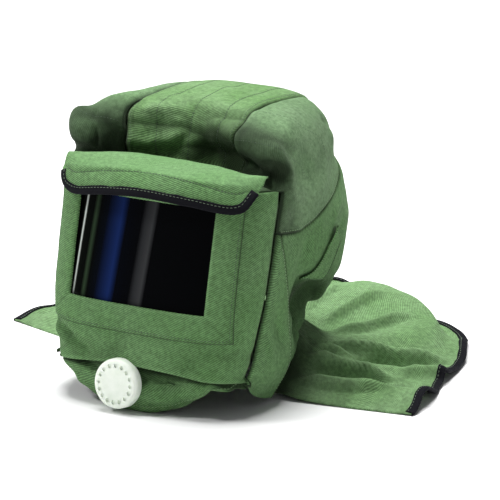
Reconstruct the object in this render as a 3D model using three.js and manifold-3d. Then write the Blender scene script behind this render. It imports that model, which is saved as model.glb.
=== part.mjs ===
// A canvas sandblasting hood standing on a table, in millimetres, +Z up, the face towards -Y.
// Every cloth panel is a patch of one body form, cut along the seams and given the cloth's thickness.
import * as THREE from 'three';
import { mergeVertices } from 'three/addons/utils/BufferGeometryUtils.js';
import Module from 'manifold-3d';

const manifold = await Module();
manifold.setup();

// Driving dimensions
const HOOD_WIDTH = 250;
const HOOD_DEPTH = 300;
const HOOD_HEIGHT = 290;
const CLOTH = 2.2;
const PIECE_GAP = 0.7;
const SIDE_GAP = 3;
const GORE_GAP = 1;
const CROWN_BAND = 126;
const NAPE_BAND = 94;
const DENT_DEPTH = 0.14 * HOOD_DEPTH;
const DENT_HALF = 0.32 * HOOD_WIDTH;
const DENT_LENGTH = 0.317 * HOOD_DEPTH;
const DENT_END = 0.517 * HOOD_DEPTH;
const DENT_FOOT = 0.7655 * HOOD_HEIGHT;
const FACE_TOP = 0.769 * HOOD_HEIGHT;
const FACE_FOOT = 0.162 * HOOD_HEIGHT;
const FACE_FOOT_RISE = 13;
const FACE_SIDE = 0.472 * HOOD_WIDTH;
const BROW_STRIP = 16;
const WINDOW_WIDTH = 0.632 * HOOD_WIDTH;
const WINDOW_SHIFT = -3;
const WINDOW_SILL = 0.362 * HOOD_HEIGHT;
const WINDOW_TOP = FACE_TOP - BROW_STRIP;
const FRAME_BAND = 27;
const FRAME_CLOTH = 1.6;
const VENT_LIFT = { left: 1.4, right: 2.8 };
const LENS_THICKNESS = 2;
const LENS_MARGIN = 9;
const LENS_SETBACK = 1.7;
const FLAP_CLOTH = 3;
const BINDING_CLOTH = 1.2;
const BINDING_GAP = 1.1;
const VALVE_DIAMETER = 50;
const VALVE_DEPTH = 11;
const VALVE_TILT = 7;
const VALVE_SHIFT = -10;
const VALVE_HEIGHT = 30;
const VALVE_STANDOFF = 9.82;
const VALVE_RING = 18.4;
const VALVE_HOLES = 16;
const VALVE_HOLE_DIAMETER = 4.4;
const CAPE_REACH = 300;
const CAPE_CENTRE = 0.5 * HOOD_DEPTH;
const CREST_AT = 0.8;
const CHIN_TUCK = 5.4;
const CHIN_OVERLAP = 6;
const SEAT = 0.6;
const NORMAL_STEP = 1.7;

const vec = (x, y, z) => new THREE.Vector3(x, y, z);
const mix = (a, b, t) => a + (b - a) * t;
const clamp01 = (t) => Math.min(1, Math.max(0, t));
const smooth = (t) => clamp01(t) ** 2 * (3 - 2 * clamp01(t));

// Points of the hood as shares of its size: x of HOOD_WIDTH / 2, y of HOOD_DEPTH, z of HOOD_HEIGHT.
const inHood = ([x, y, z]) => vec(x * HOOD_WIDTH / 2, y * HOOD_DEPTH, z * HOOD_HEIGHT);

// A value read off a table of rows at a key, straight between the rows.
function readTable(rows, key, at, value) {
  let i = 0;
  while (i < rows.length - 2 && rows[i + 1][key] < at) i += 1;
  const t = clamp01((at - rows[i][key]) / (rows[i + 1][key] - rows[i][key]));
  return mix(rows[i][value], rows[i + 1][value], t);
}

// Horizontal sections of the body form, from the table to the crown. Heights are shares of
// HOOD_HEIGHT, half widths of HOOD_WIDTH / 2, and front, middle and back of HOOD_DEPTH.
// The powers say how square the plan is in front of and behind its middle.
const SECTIONS = [
  { height: 0.00, half: 0.80, front: -0.004, middle: 0.33, back: 0.60, frontPower: 2.1, backPower: 2.3 },
  { height: 0.06, half: 0.87, front: -0.020, middle: 0.33, back: 0.62, frontPower: 2.2, backPower: 2.3 },
  { height: 0.11, half: 0.93, front: -0.026, middle: 0.33, back: 0.64, frontPower: 2.6, backPower: 2.3 },
  { height: 0.16, half: 0.96, front: -0.010, middle: 0.33, back: 0.67, frontPower: 3.3, backPower: 2.3 },
  { height: 0.22, half: 0.96, front: -0.002, middle: 0.33, back: 0.73, frontPower: 3.6, backPower: 2.4 },
  { height: 0.27, half: 0.95, front: 0.006, middle: 0.34, back: 0.85, frontPower: 3.8, backPower: 2.4 },
  { height: 0.37, half: 0.98, front: 0.022, middle: 0.35, back: 0.97, frontPower: 3.8, backPower: 2.5 },
  { height: 0.55, half: 1.00, front: 0.062, middle: 0.38, back: 1.00, frontPower: 3.8, backPower: 2.6 },
  { height: 0.71, half: 1.00, front: 0.098, middle: 0.40, back: 0.95, frontPower: 3.8, backPower: 2.4 },
  { height: 0.765, half: 0.98, front: 0.112, middle: 0.41, back: 0.91, frontPower: 3.8, backPower: 2.3 },
  { height: 0.79, half: 0.98, front: 0.200, middle: 0.43, back: 0.89, frontPower: 3.8, backPower: 2.3 },
  { height: 0.84, half: 0.97, front: 0.195, middle: 0.45, back: 0.87, frontPower: 3.8, backPower: 2.3 },
  { height: 0.90, half: 0.94, front: 0.190, middle: 0.47, back: 0.86, frontPower: 3.8, backPower: 2.3 },
  { height: 1.00, half: 0.84, front: 0.200, middle: 0.50, back: 0.85, frontPower: 3.8, backPower: 2.2 },
];
const CROWN_START = 0.78;
const CROWN_POWER = 4.6;
const CENTRE = vec(0, 0.46 * HOOD_DEPTH, 0.52 * HOOD_HEIGHT);

// Below 0 inside the body form and above 0 outside it.
function bodyForm(p) {
  const share = p.z / HOOD_HEIGHT;
  const row = (value) => readTable(SECTIONS, 'height', share, value);
  const middle = row('middle') * HOOD_DEPTH;
  const ahead = p.y < middle;
  const reach = ahead ? middle - row('front') * HOOD_DEPTH : row('back') * HOOD_DEPTH - middle;
  const power = ahead ? row('frontPower') : row('backPower');
  const across = Math.abs(p.x) / (row('half') * HOOD_WIDTH / 2);
  const plan = across ** power + (Math.abs(p.y - middle) / reach) ** power;
  const rise = Math.max(0, (share - CROWN_START) / (1 - CROWN_START));
  return plan ** (CROWN_POWER / power) + rise ** CROWN_POWER - 1;
}

// The forehead sinks back between the two lobes of the crown: how far a point of the form moves back.
function foreheadDent(p) {
  const across = Math.exp(-((Math.abs(p.x) / DENT_HALF) ** 3));
  return DENT_DEPTH * across * smooth((DENT_END - p.y) / DENT_LENGTH) * smooth((p.z - DENT_FOOT) / 10);
}

// Folds and dents, each along a line between two points of the hood. Width and depth are shares of
// HOOD_WIDTH, and the depth is outwards above 0.
const FOLDS = [
  { at: 'right forehead lobe', from: [-0.82, 0.2, 0.9], to: [-0.95, 0.32, 0.86], width: 0.14, depth: 0.048 },
  { at: 'left gore valley', from: [0.97, 0.43, 0.36], to: [0.7, 0.64, 0.22], width: 0.08, depth: -0.085 },
  { at: 'right gore valley', from: [-0.97, 0.43, 0.36], to: [-0.7, 0.64, 0.22], width: 0.08, depth: -0.085 },
];
const foldLines = FOLDS.map(({ from, to, width, depth }) => ({
  line: new THREE.Line3(inHood(from), inHood(to)),
  width: width * HOOD_WIDTH,
  depth: depth * HOOD_WIDTH,
}));

function foldDepth(p) {
  const nearest = vec();
  return foldLines.reduce((sum, { line, width, depth }) => {
    line.closestPointToPoint(p, true, nearest);
    return sum + depth * Math.exp(-nearest.distanceToSquared(p) / width ** 2);
  }, 0);
}

// How far along a ray from an inside point the body form is left.
function wayOut(from, ray) {
  let near = 0;
  let far = HOOD_WIDTH + HOOD_DEPTH;
  for (let i = 0; i < 30; i += 1) {
    const half = (near + far) / 2;
    if (bodyForm(from.clone().addScaledVector(ray, half)) < 0) near = half;
    else far = half;
  }
  return near;
}

// The point of the folded body on the ray from its centre through a guide point.
function onBody(guide) {
  const ray = guide.clone().sub(CENTRE).normalize();
  const p = CENTRE.clone().addScaledVector(ray, wayOut(CENTRE, ray));
  const dent = vec(0, foreheadDent(p), 0);
  return p.addScaledVector(ray, foldDepth(p)).add(dent);
}

// The folded body's outward normal where the ray through a guide point leaves it. Panels that meet
// at a seam get the same normal there.
function bodyNormal(guide) {
  const ray = guide.clone().sub(CENTRE).normalize();
  const side = vec(-ray.y, ray.x, 0).normalize();
  const rise = ray.clone().cross(side);
  const beside = (way, by) => onBody(guide.clone().addScaledVector(way, by));
  const across = (way) => beside(way, NORMAL_STEP).sub(beside(way, -NORMAL_STEP));
  return across(side).cross(across(rise)).normalize();
}

// The point on the front of the body form at a given x and height.
function onFront(x, z) {
  const from = vec(x, 0.35 * HOOD_DEPTH, z);
  return from.addScaledVector(vec(0, -1, 0), wayOut(from, vec(0, -1, 0)));
}

// Curves through a few points, and ways to turn them round.
function curve(points) {
  const path = new THREE.CatmullRomCurve3(points, false, 'centripetal');
  return (t) => path.getPoint(clamp01(t));
}
const mirrored = (path) => (t) => path(t).multiply(vec(-1, 1, 1));
const reversed = (path) => (t) => path(1 - t);
const part = (path, from, to) => (t) => path(mix(from, to, t));
const joined = (first, second, at) => (t) => (t < at ? first(t / at) : second((t - at) / (1 - at)));

// Seams on the +X side, through points of the hood. The crown band's two seams keep their distance
// from the middle and narrow at the nape.
const band = CROWN_BAND / 2;
const napeHalf = NAPE_BAND / 2;
const onBand = (narrowing, y, z) => inHood([0, y, z]).setX(mix(band, napeHalf, narrowing));
const CHEEK_TOP = inHood([0.992, 0.237, 0.621]);
const TEMPLE_TOP = vec(HOOD_WIDTH / 2, 0.27 * HOOD_DEPTH, FACE_TOP);
const NECK_FRONT = inHood([0.80, 0.327, 0.028]);
const GORE_FRONT_FOOT = inHood([0.88, 0.133, 0.117]);
const GORE_TIP = 0.03;
const cheekSeam = curve([inHood([0.88, 0.12, 0.117]), inHood([0.944, 0.177, 0.334]), CHEEK_TOP]);
const templeSeam = curve([CHEEK_TOP, TEMPLE_TOP]);
const crownSeam = curve([
  vec(band, onFront(band, FACE_TOP).y, FACE_TOP),
  onBand(0, 0.20, 0.797),
  onBand(0, 0.19, 0.903),
  onBand(0, 0.333, 0.993),
  onBand(0, 0.633, 1),
  onBand(0, 0.773, 0.952),
  onBand(0, 0.873, 0.81),
]);
const napeSeam = curve([
  onBand(0, 0.873, 0.81),
  onBand(0.19, 1, 0.621),
  onBand(0.5, 0.967, 0.379),
  onBand(1, 0.75, 0.228),
]);
const yokeSeam = curve([
  CHEEK_TOP,
  inHood([1.008, 0.373, 0.61]),
  inHood([1, 0.55, 0.655]),
  inHood([0.896, 0.733, 0.731]),
  onBand(0, 0.873, 0.81),
]);
const goreSeam = curve([
  yokeSeam(GORE_TIP),
  inHood([0.976, 0.31, 0.41]),
  inHood([0.92, 0.35, 0.207]),
  NECK_FRONT,
]);
const goreFront = curve([GORE_FRONT_FOOT, inHood([0.944, 0.18, 0.334]), CHEEK_TOP]);
const goreFoot = curve([GORE_FRONT_FOOT, inHood([0.856, 0.19, 0.041]), NECK_FRONT]);
const neckLine = curve([
  NECK_FRONT,
  inHood([0.80, 0.467, 0.124]),
  inHood([0.68, 0.633, 0.207]),
  onBand(1, 0.75, 0.228),
]);
const chinHem = curve([
  [-0.864, 0.127, 0.09],
  [-0.736, 0.067, 0.1],
  [-0.44, 0.027, 0.024],
  [0, -0.003, 0],
  [0.44, 0.027, 0.024],
  [0.736, 0.067, 0.1],
  [0.864, 0.127, 0.09],
].map(inHood));

// Where the cheek and temple seams are at a height.
function sideSeam(z) {
  const whole = z < CHEEK_TOP.z ? cheekSeam : templeSeam;
  let low = 0;
  let high = 1;
  for (let i = 0; i < 24; i += 1) {
    const half = (low + high) / 2;
    if (whole(half).z < z) low = half;
    else high = half;
  }
  return whole(low);
}

// The face panel's guide surface. Its lines run along the window and the band round it.
const windowHalf = WINDOW_WIDTH / 2;
const frameHalf = windowHalf + FRAME_BAND;
const faceFlat = frameHalf + Math.abs(WINDOW_SHIFT);
const FACE_COLUMNS = [
  { u: 0.00, x: -FACE_SIDE },
  { u: 0.12, x: WINDOW_SHIFT - frameHalf },
  { u: 0.24, x: WINDOW_SHIFT - windowHalf },
  { u: 0.76, x: WINDOW_SHIFT + windowHalf },
  { u: 0.88, x: WINDOW_SHIFT + frameHalf },
  { u: 1.00, x: FACE_SIDE },
];
const FACE_ROWS = [
  { v: 0.00, z: 0 },
  { v: 0.18, z: WINDOW_SILL - FRAME_BAND },
  { v: 0.34, z: WINDOW_SILL },
  { v: 0.88, z: WINDOW_TOP },
  { v: 1.00, z: FACE_TOP },
];
function facePoint(x, v) {
  FACE_ROWS[0].z = FACE_FOOT - FACE_FOOT_RISE * Math.min(1, Math.abs(x) / faceFlat) ** 2;
  const z = readTable(FACE_ROWS, 'v', v, 'z');
  if (Math.abs(x) <= faceFlat) return onFront(x, z);
  const sign = Math.sign(x);
  const share = (Math.abs(x) - faceFlat) / (FACE_SIDE - faceFlat);
  return onFront(sign * faceFlat, z).lerp(sideSeam(z).multiply(vec(sign, 1, 1)), share);
}
const faceGuide = (u, v) => facePoint(readTable(FACE_COLUMNS, 'u', u, 'x'), v);
const alongFace = (from, to, v) => (t) => facePoint(mix(from, to, t), v);

// A guide surface between four border curves that meet at the corners.
function coons(foot, top, left, right) {
  return (u, v) => {
    const p = foot(u).multiplyScalar(1 - v).addScaledVector(top(u), v);
    p.addScaledVector(left(v), 1 - u).addScaledVector(right(v), u);
    p.addScaledVector(foot(0), -(1 - u) * (1 - v)).addScaledVector(foot(1), -u * (1 - v));
    return p.addScaledVector(top(0), -(1 - u) * v).addScaledVector(top(1), -u * v);
  };
}

// A closed solid between an outer and an inner grid of points, less the cells that hole(i, j) names.
function sheet(outer, inner, us, vs, hole = () => false) {
  const positions = [];
  const index = [];
  const columns = us.length;
  for (const layer of [outer, inner]) {
    for (const v of vs) for (const u of us) positions.push(...layer(u, v).toArray());
  }
  const at = (layer, i, j) => layer * columns * vs.length + j * columns + i;
  const quad = (a, b, c, d) => index.push(a, b, c, a, c, d);
  const isCell = (i, j) => i >= 0 && j >= 0 && i < columns - 1 && j < vs.length - 1 && !hole(i, j);
  for (let j = 0; j < vs.length - 1; j += 1) {
    for (let i = 0; i < columns - 1; i += 1) {
      if (!isCell(i, j)) continue;
      quad(at(0, i, j), at(0, i + 1, j), at(0, i + 1, j + 1), at(0, i, j + 1));
      quad(at(1, i, j), at(1, i, j + 1), at(1, i + 1, j + 1), at(1, i + 1, j));
      const rim = (a, b) => quad(at(0, ...a), at(1, ...a), at(1, ...b), at(0, ...b));
      if (!isCell(i, j - 1)) rim([i, j], [i + 1, j]);
      if (!isCell(i, j + 1)) rim([i + 1, j + 1], [i, j + 1]);
      if (!isCell(i - 1, j)) rim([i, j + 1], [i, j]);
      if (!isCell(i + 1, j)) rim([i + 1, j], [i + 1, j + 1]);
    }
  }
  return solid(positions, index);
}

// A closed solid swept from rings of the same number of points, with its two ends given as quads.
function sweep(rings, ends) {
  const count = rings[0].length;
  const index = [];
  for (let k = 0; k < rings.length - 1; k += 1) {
    for (let i = 0; i < count; i += 1) {
      const next = (i + 1) % count;
      index.push(k * count + i, k * count + next, (k + 1) * count + next);
      index.push(k * count + i, (k + 1) * count + next, (k + 1) * count + i);
    }
  }
  const last = (rings.length - 1) * count;
  for (const [a, b, c, d] of ends) {
    index.push(a, c, b, a, d, c);
    index.push(last + a, last + b, last + c, last + a, last + c, last + d);
  }
  return solid(rings.flat().flatMap((p) => p.toArray()), index);
}

// Indexed triangles as flat-shaded geometry, turned so that the faces look outwards.
function solid(positions, index) {
  const corner = (i) => vec().fromArray(positions, 3 * i);
  let volume = 0;
  for (let i = 0; i < index.length; i += 3) {
    volume += corner(index[i]).dot(corner(index[i + 1]).cross(corner(index[i + 2])));
  }
  const geometry = new THREE.BufferGeometry();
  geometry.setAttribute('position', new THREE.Float32BufferAttribute(positions, 3));
  geometry.setIndex(volume < 0 ? index.slice().reverse() : index);
  geometry.computeVertexNormals();
  return geometry;
}

// A closed three.js geometry as a solid that can be cut.
function toManifold(geometry) {
  geometry.deleteAttribute('normal');
  geometry.deleteAttribute('uv');
  const merged = mergeVertices(geometry, 1e-4);
  const all = Array.from(merged.index.array);
  const kept = all.filter((_, i) => {
    const [a, b, c] = all.slice(i - (i % 3), i - (i % 3) + 3);
    return a !== b && b !== c && c !== a;
  });
  const vertProperties = merged.getAttribute('position').array;
  const triVerts = new Uint32Array(kept);
  return new manifold.Manifold(new manifold.Mesh({ numProp: 3, vertProperties, triVerts }));
}

// The outward normal of a surface given by two parameters.
function normalOf(surface, u, v) {
  const step = 0.004;
  const du = surface(u + step, v).sub(surface(u - step, v));
  const dv = surface(u, v + step).sub(surface(u, v - step));
  return du.cross(dv).normalize();
}

const steps = (count) => Array.from({ length: count + 1 }, (_, i) => i / count);

// A cloth from its outer surface: cloth(u, v, lift) is the point at a lift off that surface, with
// the borders drawn in by a gap in millimetres.
function clothOf(surface, gap = 0, normal = (u, v) => normalOf(surface, u, v)) {
  const span = (a, b) => (gap === 0 ? 0 : Math.min(0.3, gap / a.distanceTo(b)));
  return (u, v, lift = 0) => {
    const aside = span(surface(0, v), surface(1, v));
    const below = span(surface(u, 0), surface(u, 1));
    const a = mix(aside, 1 - aside, u);
    const b = mix(below, 1 - below, v);
    return surface(a, b).addScaledVector(normal(a, b), lift);
  };
}
const onPanel = (guide, gap = PIECE_GAP) => clothOf(
  (u, v) => onBody(guide(u, v)),
  gap,
  (u, v) => bodyNormal(guide(u, v)),
);

const MATERIALS = {
  canvas: { color: 0x4f7f4a, roughness: 0.9, metalness: 0 },
  tape: { color: 0x26262c, roughness: 0.85, metalness: 0 },
  lens: { color: 0x07090f, roughness: 0.08, metalness: 0 },
  plastic: { color: 0xe9f2e6, roughness: 0.45, metalness: 0 },
};
const hood = new THREE.Group();
function add(name, geometry, material) {
  const mesh = new THREE.Mesh(geometry, new THREE.MeshStandardMaterial(MATERIALS[material]));
  mesh.name = name;
  hood.add(mesh);
}

// A sheet of a cloth between two lifts, the outer one first.
function addSheet(name, cloth, [outer, inner], us, vs, material = 'canvas', hole = undefined) {
  add(name, sheet((u, v) => cloth(u, v, outer), (u, v) => cloth(u, v, inner), us, vs, hole), material);
}

// A tape folded round a cloth's edge. Each station gives the edge and the tape's inner side as u and v.
function addBinding(name, cloth, thickness, stations) {
  const near = BINDING_GAP;
  const far = BINDING_GAP + BINDING_CLOTH;
  const rings = stations.map(([edge, inner]) => {
    const out = cloth(...edge, -thickness / 2).sub(cloth(...inner, -thickness / 2)).normalize();
    const past = (lift, by) => cloth(...edge, lift).addScaledVector(out, by);
    return [
      cloth(...inner, far),
      past(far, far),
      past(-thickness - far, far),
      cloth(...inner, -thickness - far),
      cloth(...inner, -thickness - near),
      past(-thickness - near, near),
      past(near, near),
      cloth(...inner, near),
    ];
  });
  add(name, sweep(rings, [[0, 1, 6, 7], [1, 2, 5, 6], [2, 3, 4, 5]]), 'tape');
}

// Crown band
const crownLine = joined(crownSeam, napeSeam, 0.64);
const napeFoot = (t) => napeSeam(1).setX(mix(-napeHalf, napeHalf, t));
const crownGuide = coons(
  alongFace(-band, band, 1),
  napeFoot,
  mirrored(crownLine),
  crownLine,
);
const crownRows = [
  0, 0.03, 0.06, 0.09, 0.12, 0.15, 0.18, 0.21, 0.24, 0.27, 0.31, 0.35, 0.4, 0.45, 0.5, 0.54, 0.58, 0.62, 0.66,
  0.7, 0.75, 0.8, 0.85, 0.9, 0.95, 1,
];
addSheet('crown_band', onPanel(crownGuide), [0, -CLOTH], steps(8), crownRows);

// Face panel with the window cut out
const faceColumns = [
  0, 0.04, 0.08, 0.12, 0.18, 0.24, 0.37, 0.5, 0.63, 0.76, 0.82, 0.88, 0.92, 0.96, 1,
];
const faceLines = [0, 0.06, 0.12, 0.18, 0.26, 0.34, 0.475, 0.61, 0.745, 0.88, 0.94, 1];
const face = onPanel(faceGuide);
const inWindow = (i, j) => i >= 5 && i < 9 && j >= 5 && j < 9;
addSheet('face_panel', face, [0, -CLOTH], faceColumns, faceLines, 'canvas', inWindow);

// Stitched band round the window, and the lens behind it
const inBand = (i, j) => i >= 2 && i < 6 && j >= 2 && j < 6;
const bandLifts = [SEAT + FRAME_CLOTH, SEAT];
const bandColumns = faceColumns.slice(3, 12);
const bandLines = faceLines.slice(3, 11);
addSheet('window_frame', face, bandLifts, bandColumns, bandLines, 'canvas', inBand);
const lensSurface = (u, v) => onFront(
  WINDOW_SHIFT + mix(-1, 1, u) * (windowHalf + LENS_MARGIN),
  mix(WINDOW_SILL - LENS_MARGIN, WINDOW_TOP + LENS_MARGIN, v),
);
const lensDepth = -CLOTH - LENS_SETBACK;
addSheet('lens', clothOf(lensSurface), [lensDepth, lensDepth - LENS_THICKNESS], steps(12), steps(5), 'lens');

// Sides, with the ear vent's flap between four points on the lower side
const VENT_FOOT = [[0.976, 0.437, 0.407], [0.976, 0.557, 0.379]].map(inHood);
const VENT_TOP = [[0.976, 0.627, 0.566], [0.976, 0.683, 0.493]].map(inHood);
const upperColumns = [0, 0.04, 0.08, 0.12, 0.17, 0.22, 0.28, 0.35, 0.43, 0.52, 0.62, 0.73, 0.86, 1];
for (const [side, turn] of [['left', (path) => path], ['right', mirrored]]) {
  const facing = (guide) => (side === 'left' ? guide : (u, v) => guide(1 - u, v));
  const lines = (foot, top, left, right) => facing(coons(turn(foot), turn(top), turn(left), turn(right)));
  const gore = lines(goreFoot, part(yokeSeam, 0, GORE_TIP), goreFront, reversed(goreSeam));
  const upperFront = joined(templeSeam, alongFace(FACE_SIDE, band, 1), 0.42);
  const upper = lines(yokeSeam, part(crownSeam, 0, 0.84), upperFront, part(crownSeam, 1, 0.84));
  const lower = lines(neckLine, part(yokeSeam, GORE_TIP, 1), reversed(goreSeam), reversed(napeSeam));
  addSheet(`cheek_gore_${side}`, onPanel(gore, GORE_GAP), [0, -CLOTH], steps(3), steps(12));
  addSheet(`side_upper_${side}`, onPanel(upper, SIDE_GAP), [0, -CLOTH], upperColumns, steps(12));
  addSheet(`side_lower_${side}`, onPanel(lower), [0, -CLOTH], steps(12), steps(12));
  const across = ([near, far]) => turn((t) => near.clone().lerp(far, t));
  const vent = facing((u, v) => across(VENT_FOOT)(u).lerp(across(VENT_TOP)(u), v));
  const ventLifts = [VENT_LIFT[side] + FRAME_CLOTH, VENT_LIFT[side]];
  addSheet(`ear_vent_flap_${side}`, onPanel(vent, 0), ventLifts, steps(3), steps(5));
}

// Chin panel, its top tucked behind the foot of the face panel
const inside = (t, power) => 1 - Math.abs(2 * t - 1) ** power;
const chinTop = (t) => alongFace(-FACE_SIDE, FACE_SIDE, 0)(t)
  .add(vec(0, 0, mix(-CHIN_OVERLAP / 2, CHIN_OVERLAP, inside(t, 3))));
const chinGuide = coons(
  chinHem,
  chinTop,
  (t) => chinHem(0).lerp(chinTop(0), t),
  (t) => chinHem(1).lerp(chinTop(1), t),
);
const chinPanel = onPanel(chinGuide);
const chin = (u, v, lift) => chinPanel(u, v, lift - CHIN_TUCK * inside(u, 8) * smooth((v - 0.5) / 0.25));
const atValve = (i, j) => i >= 7 && i < 9 && j >= 2 && j < 4;
addSheet('chin_panel', chin, [0, -CLOTH], steps(18), steps(6), 'canvas', atValve);

// Exhaust valve: a cap with a ring of holes, and the seat behind it over the hole in the chin panel
const valvePoint = ([r, depth]) => new THREE.Vector2(r * VALVE_DIAMETER / 2, -depth * VALVE_DEPTH);
const valveSolid = (profile) => toManifold(new THREE.LatheGeometry(profile.map(valvePoint), 28));
let cap = valveSolid([
  [0, 0], [0.8, 0], [0.92, 0.08], [0.98, 0.24], [1, 0.45], [1, 1],
  [0.92, 1], [0.92, 0.50], [0.89, 0.32], [0.78, 0.22], [0, 0.22],
]);
for (let k = 0; k < VALVE_HOLES; k += 1) {
  const turn = 2 * Math.PI * k / VALVE_HOLES;
  const radius = VALVE_HOLE_DIAMETER / 2;
  const drill = new THREE.CylinderGeometry(radius, radius, VALVE_DEPTH, 8);
  drill.translate(Math.cos(turn) * VALVE_RING, 0, Math.sin(turn) * VALVE_RING);
  cap = cap.subtract(toManifold(drill));
}
const seat = valveSolid([[0.52, 0.66], [0.88, 0.66], [0.88, 0.9], [0.52, 0.9], [0.52, 0.66]]);
const valveCentre = onFront(VALVE_SHIFT, VALVE_HEIGHT).add(vec(0, -VALVE_STANDOFF, 0));
const valvePlace = new THREE.Matrix4().makeRotationX(Math.PI - VALVE_TILT * Math.PI / 180)
  .setPosition(valveCentre);
for (const [name, shape] of [['exhaust_valve_cap', cap], ['exhaust_valve_seat', seat]]) {
  const mesh = shape.getMesh();
  const geometry = solid(Array.from(mesh.vertProperties), Array.from(mesh.triVerts));
  add(name, geometry.applyMatrix4(valvePlace), 'plastic');
}

// Flap over the window: its free edge, its stitched fold and its back edge under the brow
const flapRows = [
  [
    [-0.856, 0.115, 0.731],
    [-0.672, 0.075, 0.712],
    [-0.36, 0.053, 0.731],
    [0, 0.048, 0.743],
    [0.416, 0.067, 0.731],
    [0.784, 0.1, 0.717],
    [0.904, 0.122, 0.738],
  ],
  [
    [-0.848, 0.14, 0.79],
    [-0.68, 0.107, 0.797],
    [-0.36, 0.1, 0.81],
    [0, 0.097, 0.814],
    [0.4, 0.103, 0.807],
    [0.784, 0.133, 0.80],
    [0.944, 0.18, 0.81],
  ],
  [
    [-0.848, 0.167, 0.824],
    [-0.672, 0.187, 0.828],
    [-0.44, 0.253, 0.824],
    [0, 0.29, 0.817],
    [0.44, 0.253, 0.821],
    [0.76, 0.2, 0.824],
    [0.936, 0.21, 0.828],
  ],
].map((row) => curve(row.map(inHood)));
const FLAP_FOLD = 0.36;
const flapSurface = (u, v) => (v < FLAP_FOLD
  ? flapRows[0](u).lerp(flapRows[1](u), v / FLAP_FOLD)
  : flapRows[1](u).lerp(flapRows[2](u), (v - FLAP_FOLD) / (1 - FLAP_FOLD)));
const flap = clothOf(flapSurface);
const flapColumns = [
  0, 0.048, 0.1, 0.18, 0.26, 0.34, 0.42, 0.5, 0.58, 0.66, 0.74, 0.82, 0.9, 0.952, 1,
];
const flapLines = [0, 0.12, 0.24, 0.36, 0.5, 0.66, 0.83, 1];
addSheet('lens_flap', flap, [0, -FLAP_CLOTH], flapColumns, flapLines);
const flapEdge = [
  [[0, 0.36], [0.048, 0.36]],
  [[0, 0.24], [0.048, 0.24]],
  [[0, 0.12], [0.048, 0.16]],
  [[0, 0], [0.048, 0.12]],
  [[0.048, 0], [0.062, 0.12]],
  ...flapColumns.slice(2, -2).map((u) => [[u, 0], [u, 0.12]]),
  [[0.952, 0], [0.938, 0.12]],
  [[1, 0], [0.952, 0.12]],
  [[1, 0.12], [0.952, 0.16]],
  [[1, 0.24], [0.952, 0.24]],
  [[1, 0.36], [0.952, 0.36]],
];
addBinding('flap_binding', flap, FLAP_CLOTH, flapEdge);

// Cape: from under the hood's hem out to a bound edge, as shares of the way round and of the way out.
// Angles run from +X to +Y in degrees. Reach, lift and crest are shares of CAPE_REACH: the lift is the
// edge's height, and the crest that of the raised fold inside the edge, at CREST_AT of the way out.
const CAPE_FROM = -5;
const CAPE_TO = 165;
const CAPE_EDGE = [
  { angle: -5, reach: 0.81, lift: 0, crest: 0 },
  { angle: 20, reach: 0.77, lift: 0.01, crest: 0 },
  { angle: 36, reach: 0.83, lift: 0.02, crest: 0 },
  { angle: 50, reach: 0.91, lift: 0.01, crest: 0.05 },
  { angle: 58, reach: 0.96, lift: 0, crest: 0.1 },
  { angle: 68, reach: 1, lift: 0, crest: 0.13 },
  { angle: 80, reach: 1, lift: 0, crest: 0.14 },
  { angle: 87, reach: 1, lift: 0.02, crest: 0.12 },
  { angle: 95, reach: 1, lift: 0.09, crest: 0.08 },
  { angle: 108, reach: 0.98, lift: 0.05, crest: 0.08 },
  { angle: 125, reach: 0.96, lift: 0.02, crest: 0.06 },
  { angle: 150, reach: 0.97, lift: 0, crest: 0.02 },
  { angle: 165, reach: 1.04, lift: 0, crest: 0 },
];
const CREST_INSIDE = 0.36;
const CREST_OUTSIDE = 0.07;
// Waves of the cape: where they crest, how far they spread in degrees and along the way out, and
// how high they are.
const CAPE_WAVES = [
  { angle: 4, spread: 6, at: 0.9, length: 0.6, height: 0.05 },
  { angle: 26, spread: 6, at: 0.6, length: 0.4, height: 0.045 },
  { angle: 48, spread: 7, at: 0.6, length: 0.4, height: 0.05 },
  { angle: 92, spread: 30, at: 0.5, length: 0.25, height: 0.04 },
  { angle: 152, spread: 8, at: 0.7, length: 0.4, height: 0.04 },
];
const RIM = [
  { share: 0.00, along: 0.08 },
  { share: 0.10, along: 0.45 },
  { share: 0.36, along: 1.00 },
  { share: 0.75, along: 2.00 },
  { share: 1.00, along: 2.62 },
];
function hemPoint(along) {
  if (along < 1) return neckLine(along);
  if (along > 2) return mirrored(neckLine)(3 - along);
  return napeFoot(2 - along);
}
function capeUnder(u, v) {
  const angle = mix(CAPE_FROM, CAPE_TO, u);
  const turn = angle * Math.PI / 180;
  const reach = readTable(CAPE_EDGE, 'angle', angle, 'reach') * CAPE_REACH;
  const rim = onBody(hemPoint(readTable(RIM, 'share', u, 'along')));
  const edge = vec(Math.cos(turn) * reach, CAPE_CENTRE + Math.sin(turn) * reach, 0);
  const p = rim.clone().lerp(edge, v);
  const waves = CAPE_WAVES.reduce((sum, wave) => sum + wave.height * CAPE_REACH
    * Math.exp(-(((angle - wave.angle) / wave.spread) ** 2) - ((v - wave.at) / wave.length) ** 2), 0);
  const crest = readTable(CAPE_EDGE, 'angle', angle, 'crest') * CAPE_REACH
    * Math.exp(-(((v - CREST_AT) / (v < CREST_AT ? CREST_INSIDE : CREST_OUTSIDE)) ** 2));
  const lift = readTable(CAPE_EDGE, 'angle', angle, 'lift') * CAPE_REACH * smooth((v - 0.7) / 0.3);
  const start = rim.z - CLOTH - 2 * SEAT;
  const fall = start * clamp01(1 - v) ** 2.4 + (waves + crest + lift) * smooth(v / 0.35) - CLOTH;
  const flat = (BINDING_GAP + BINDING_CLOTH) * smooth((v - 0.86) / 0.08);
  p.z = mix(start, Math.max(0, fall), smooth(v / 0.1)) + flat;
  return p;
}
const cape = clothOf((u, v) => capeUnder(1 - u, v));
const capeColumns = steps(31);
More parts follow.
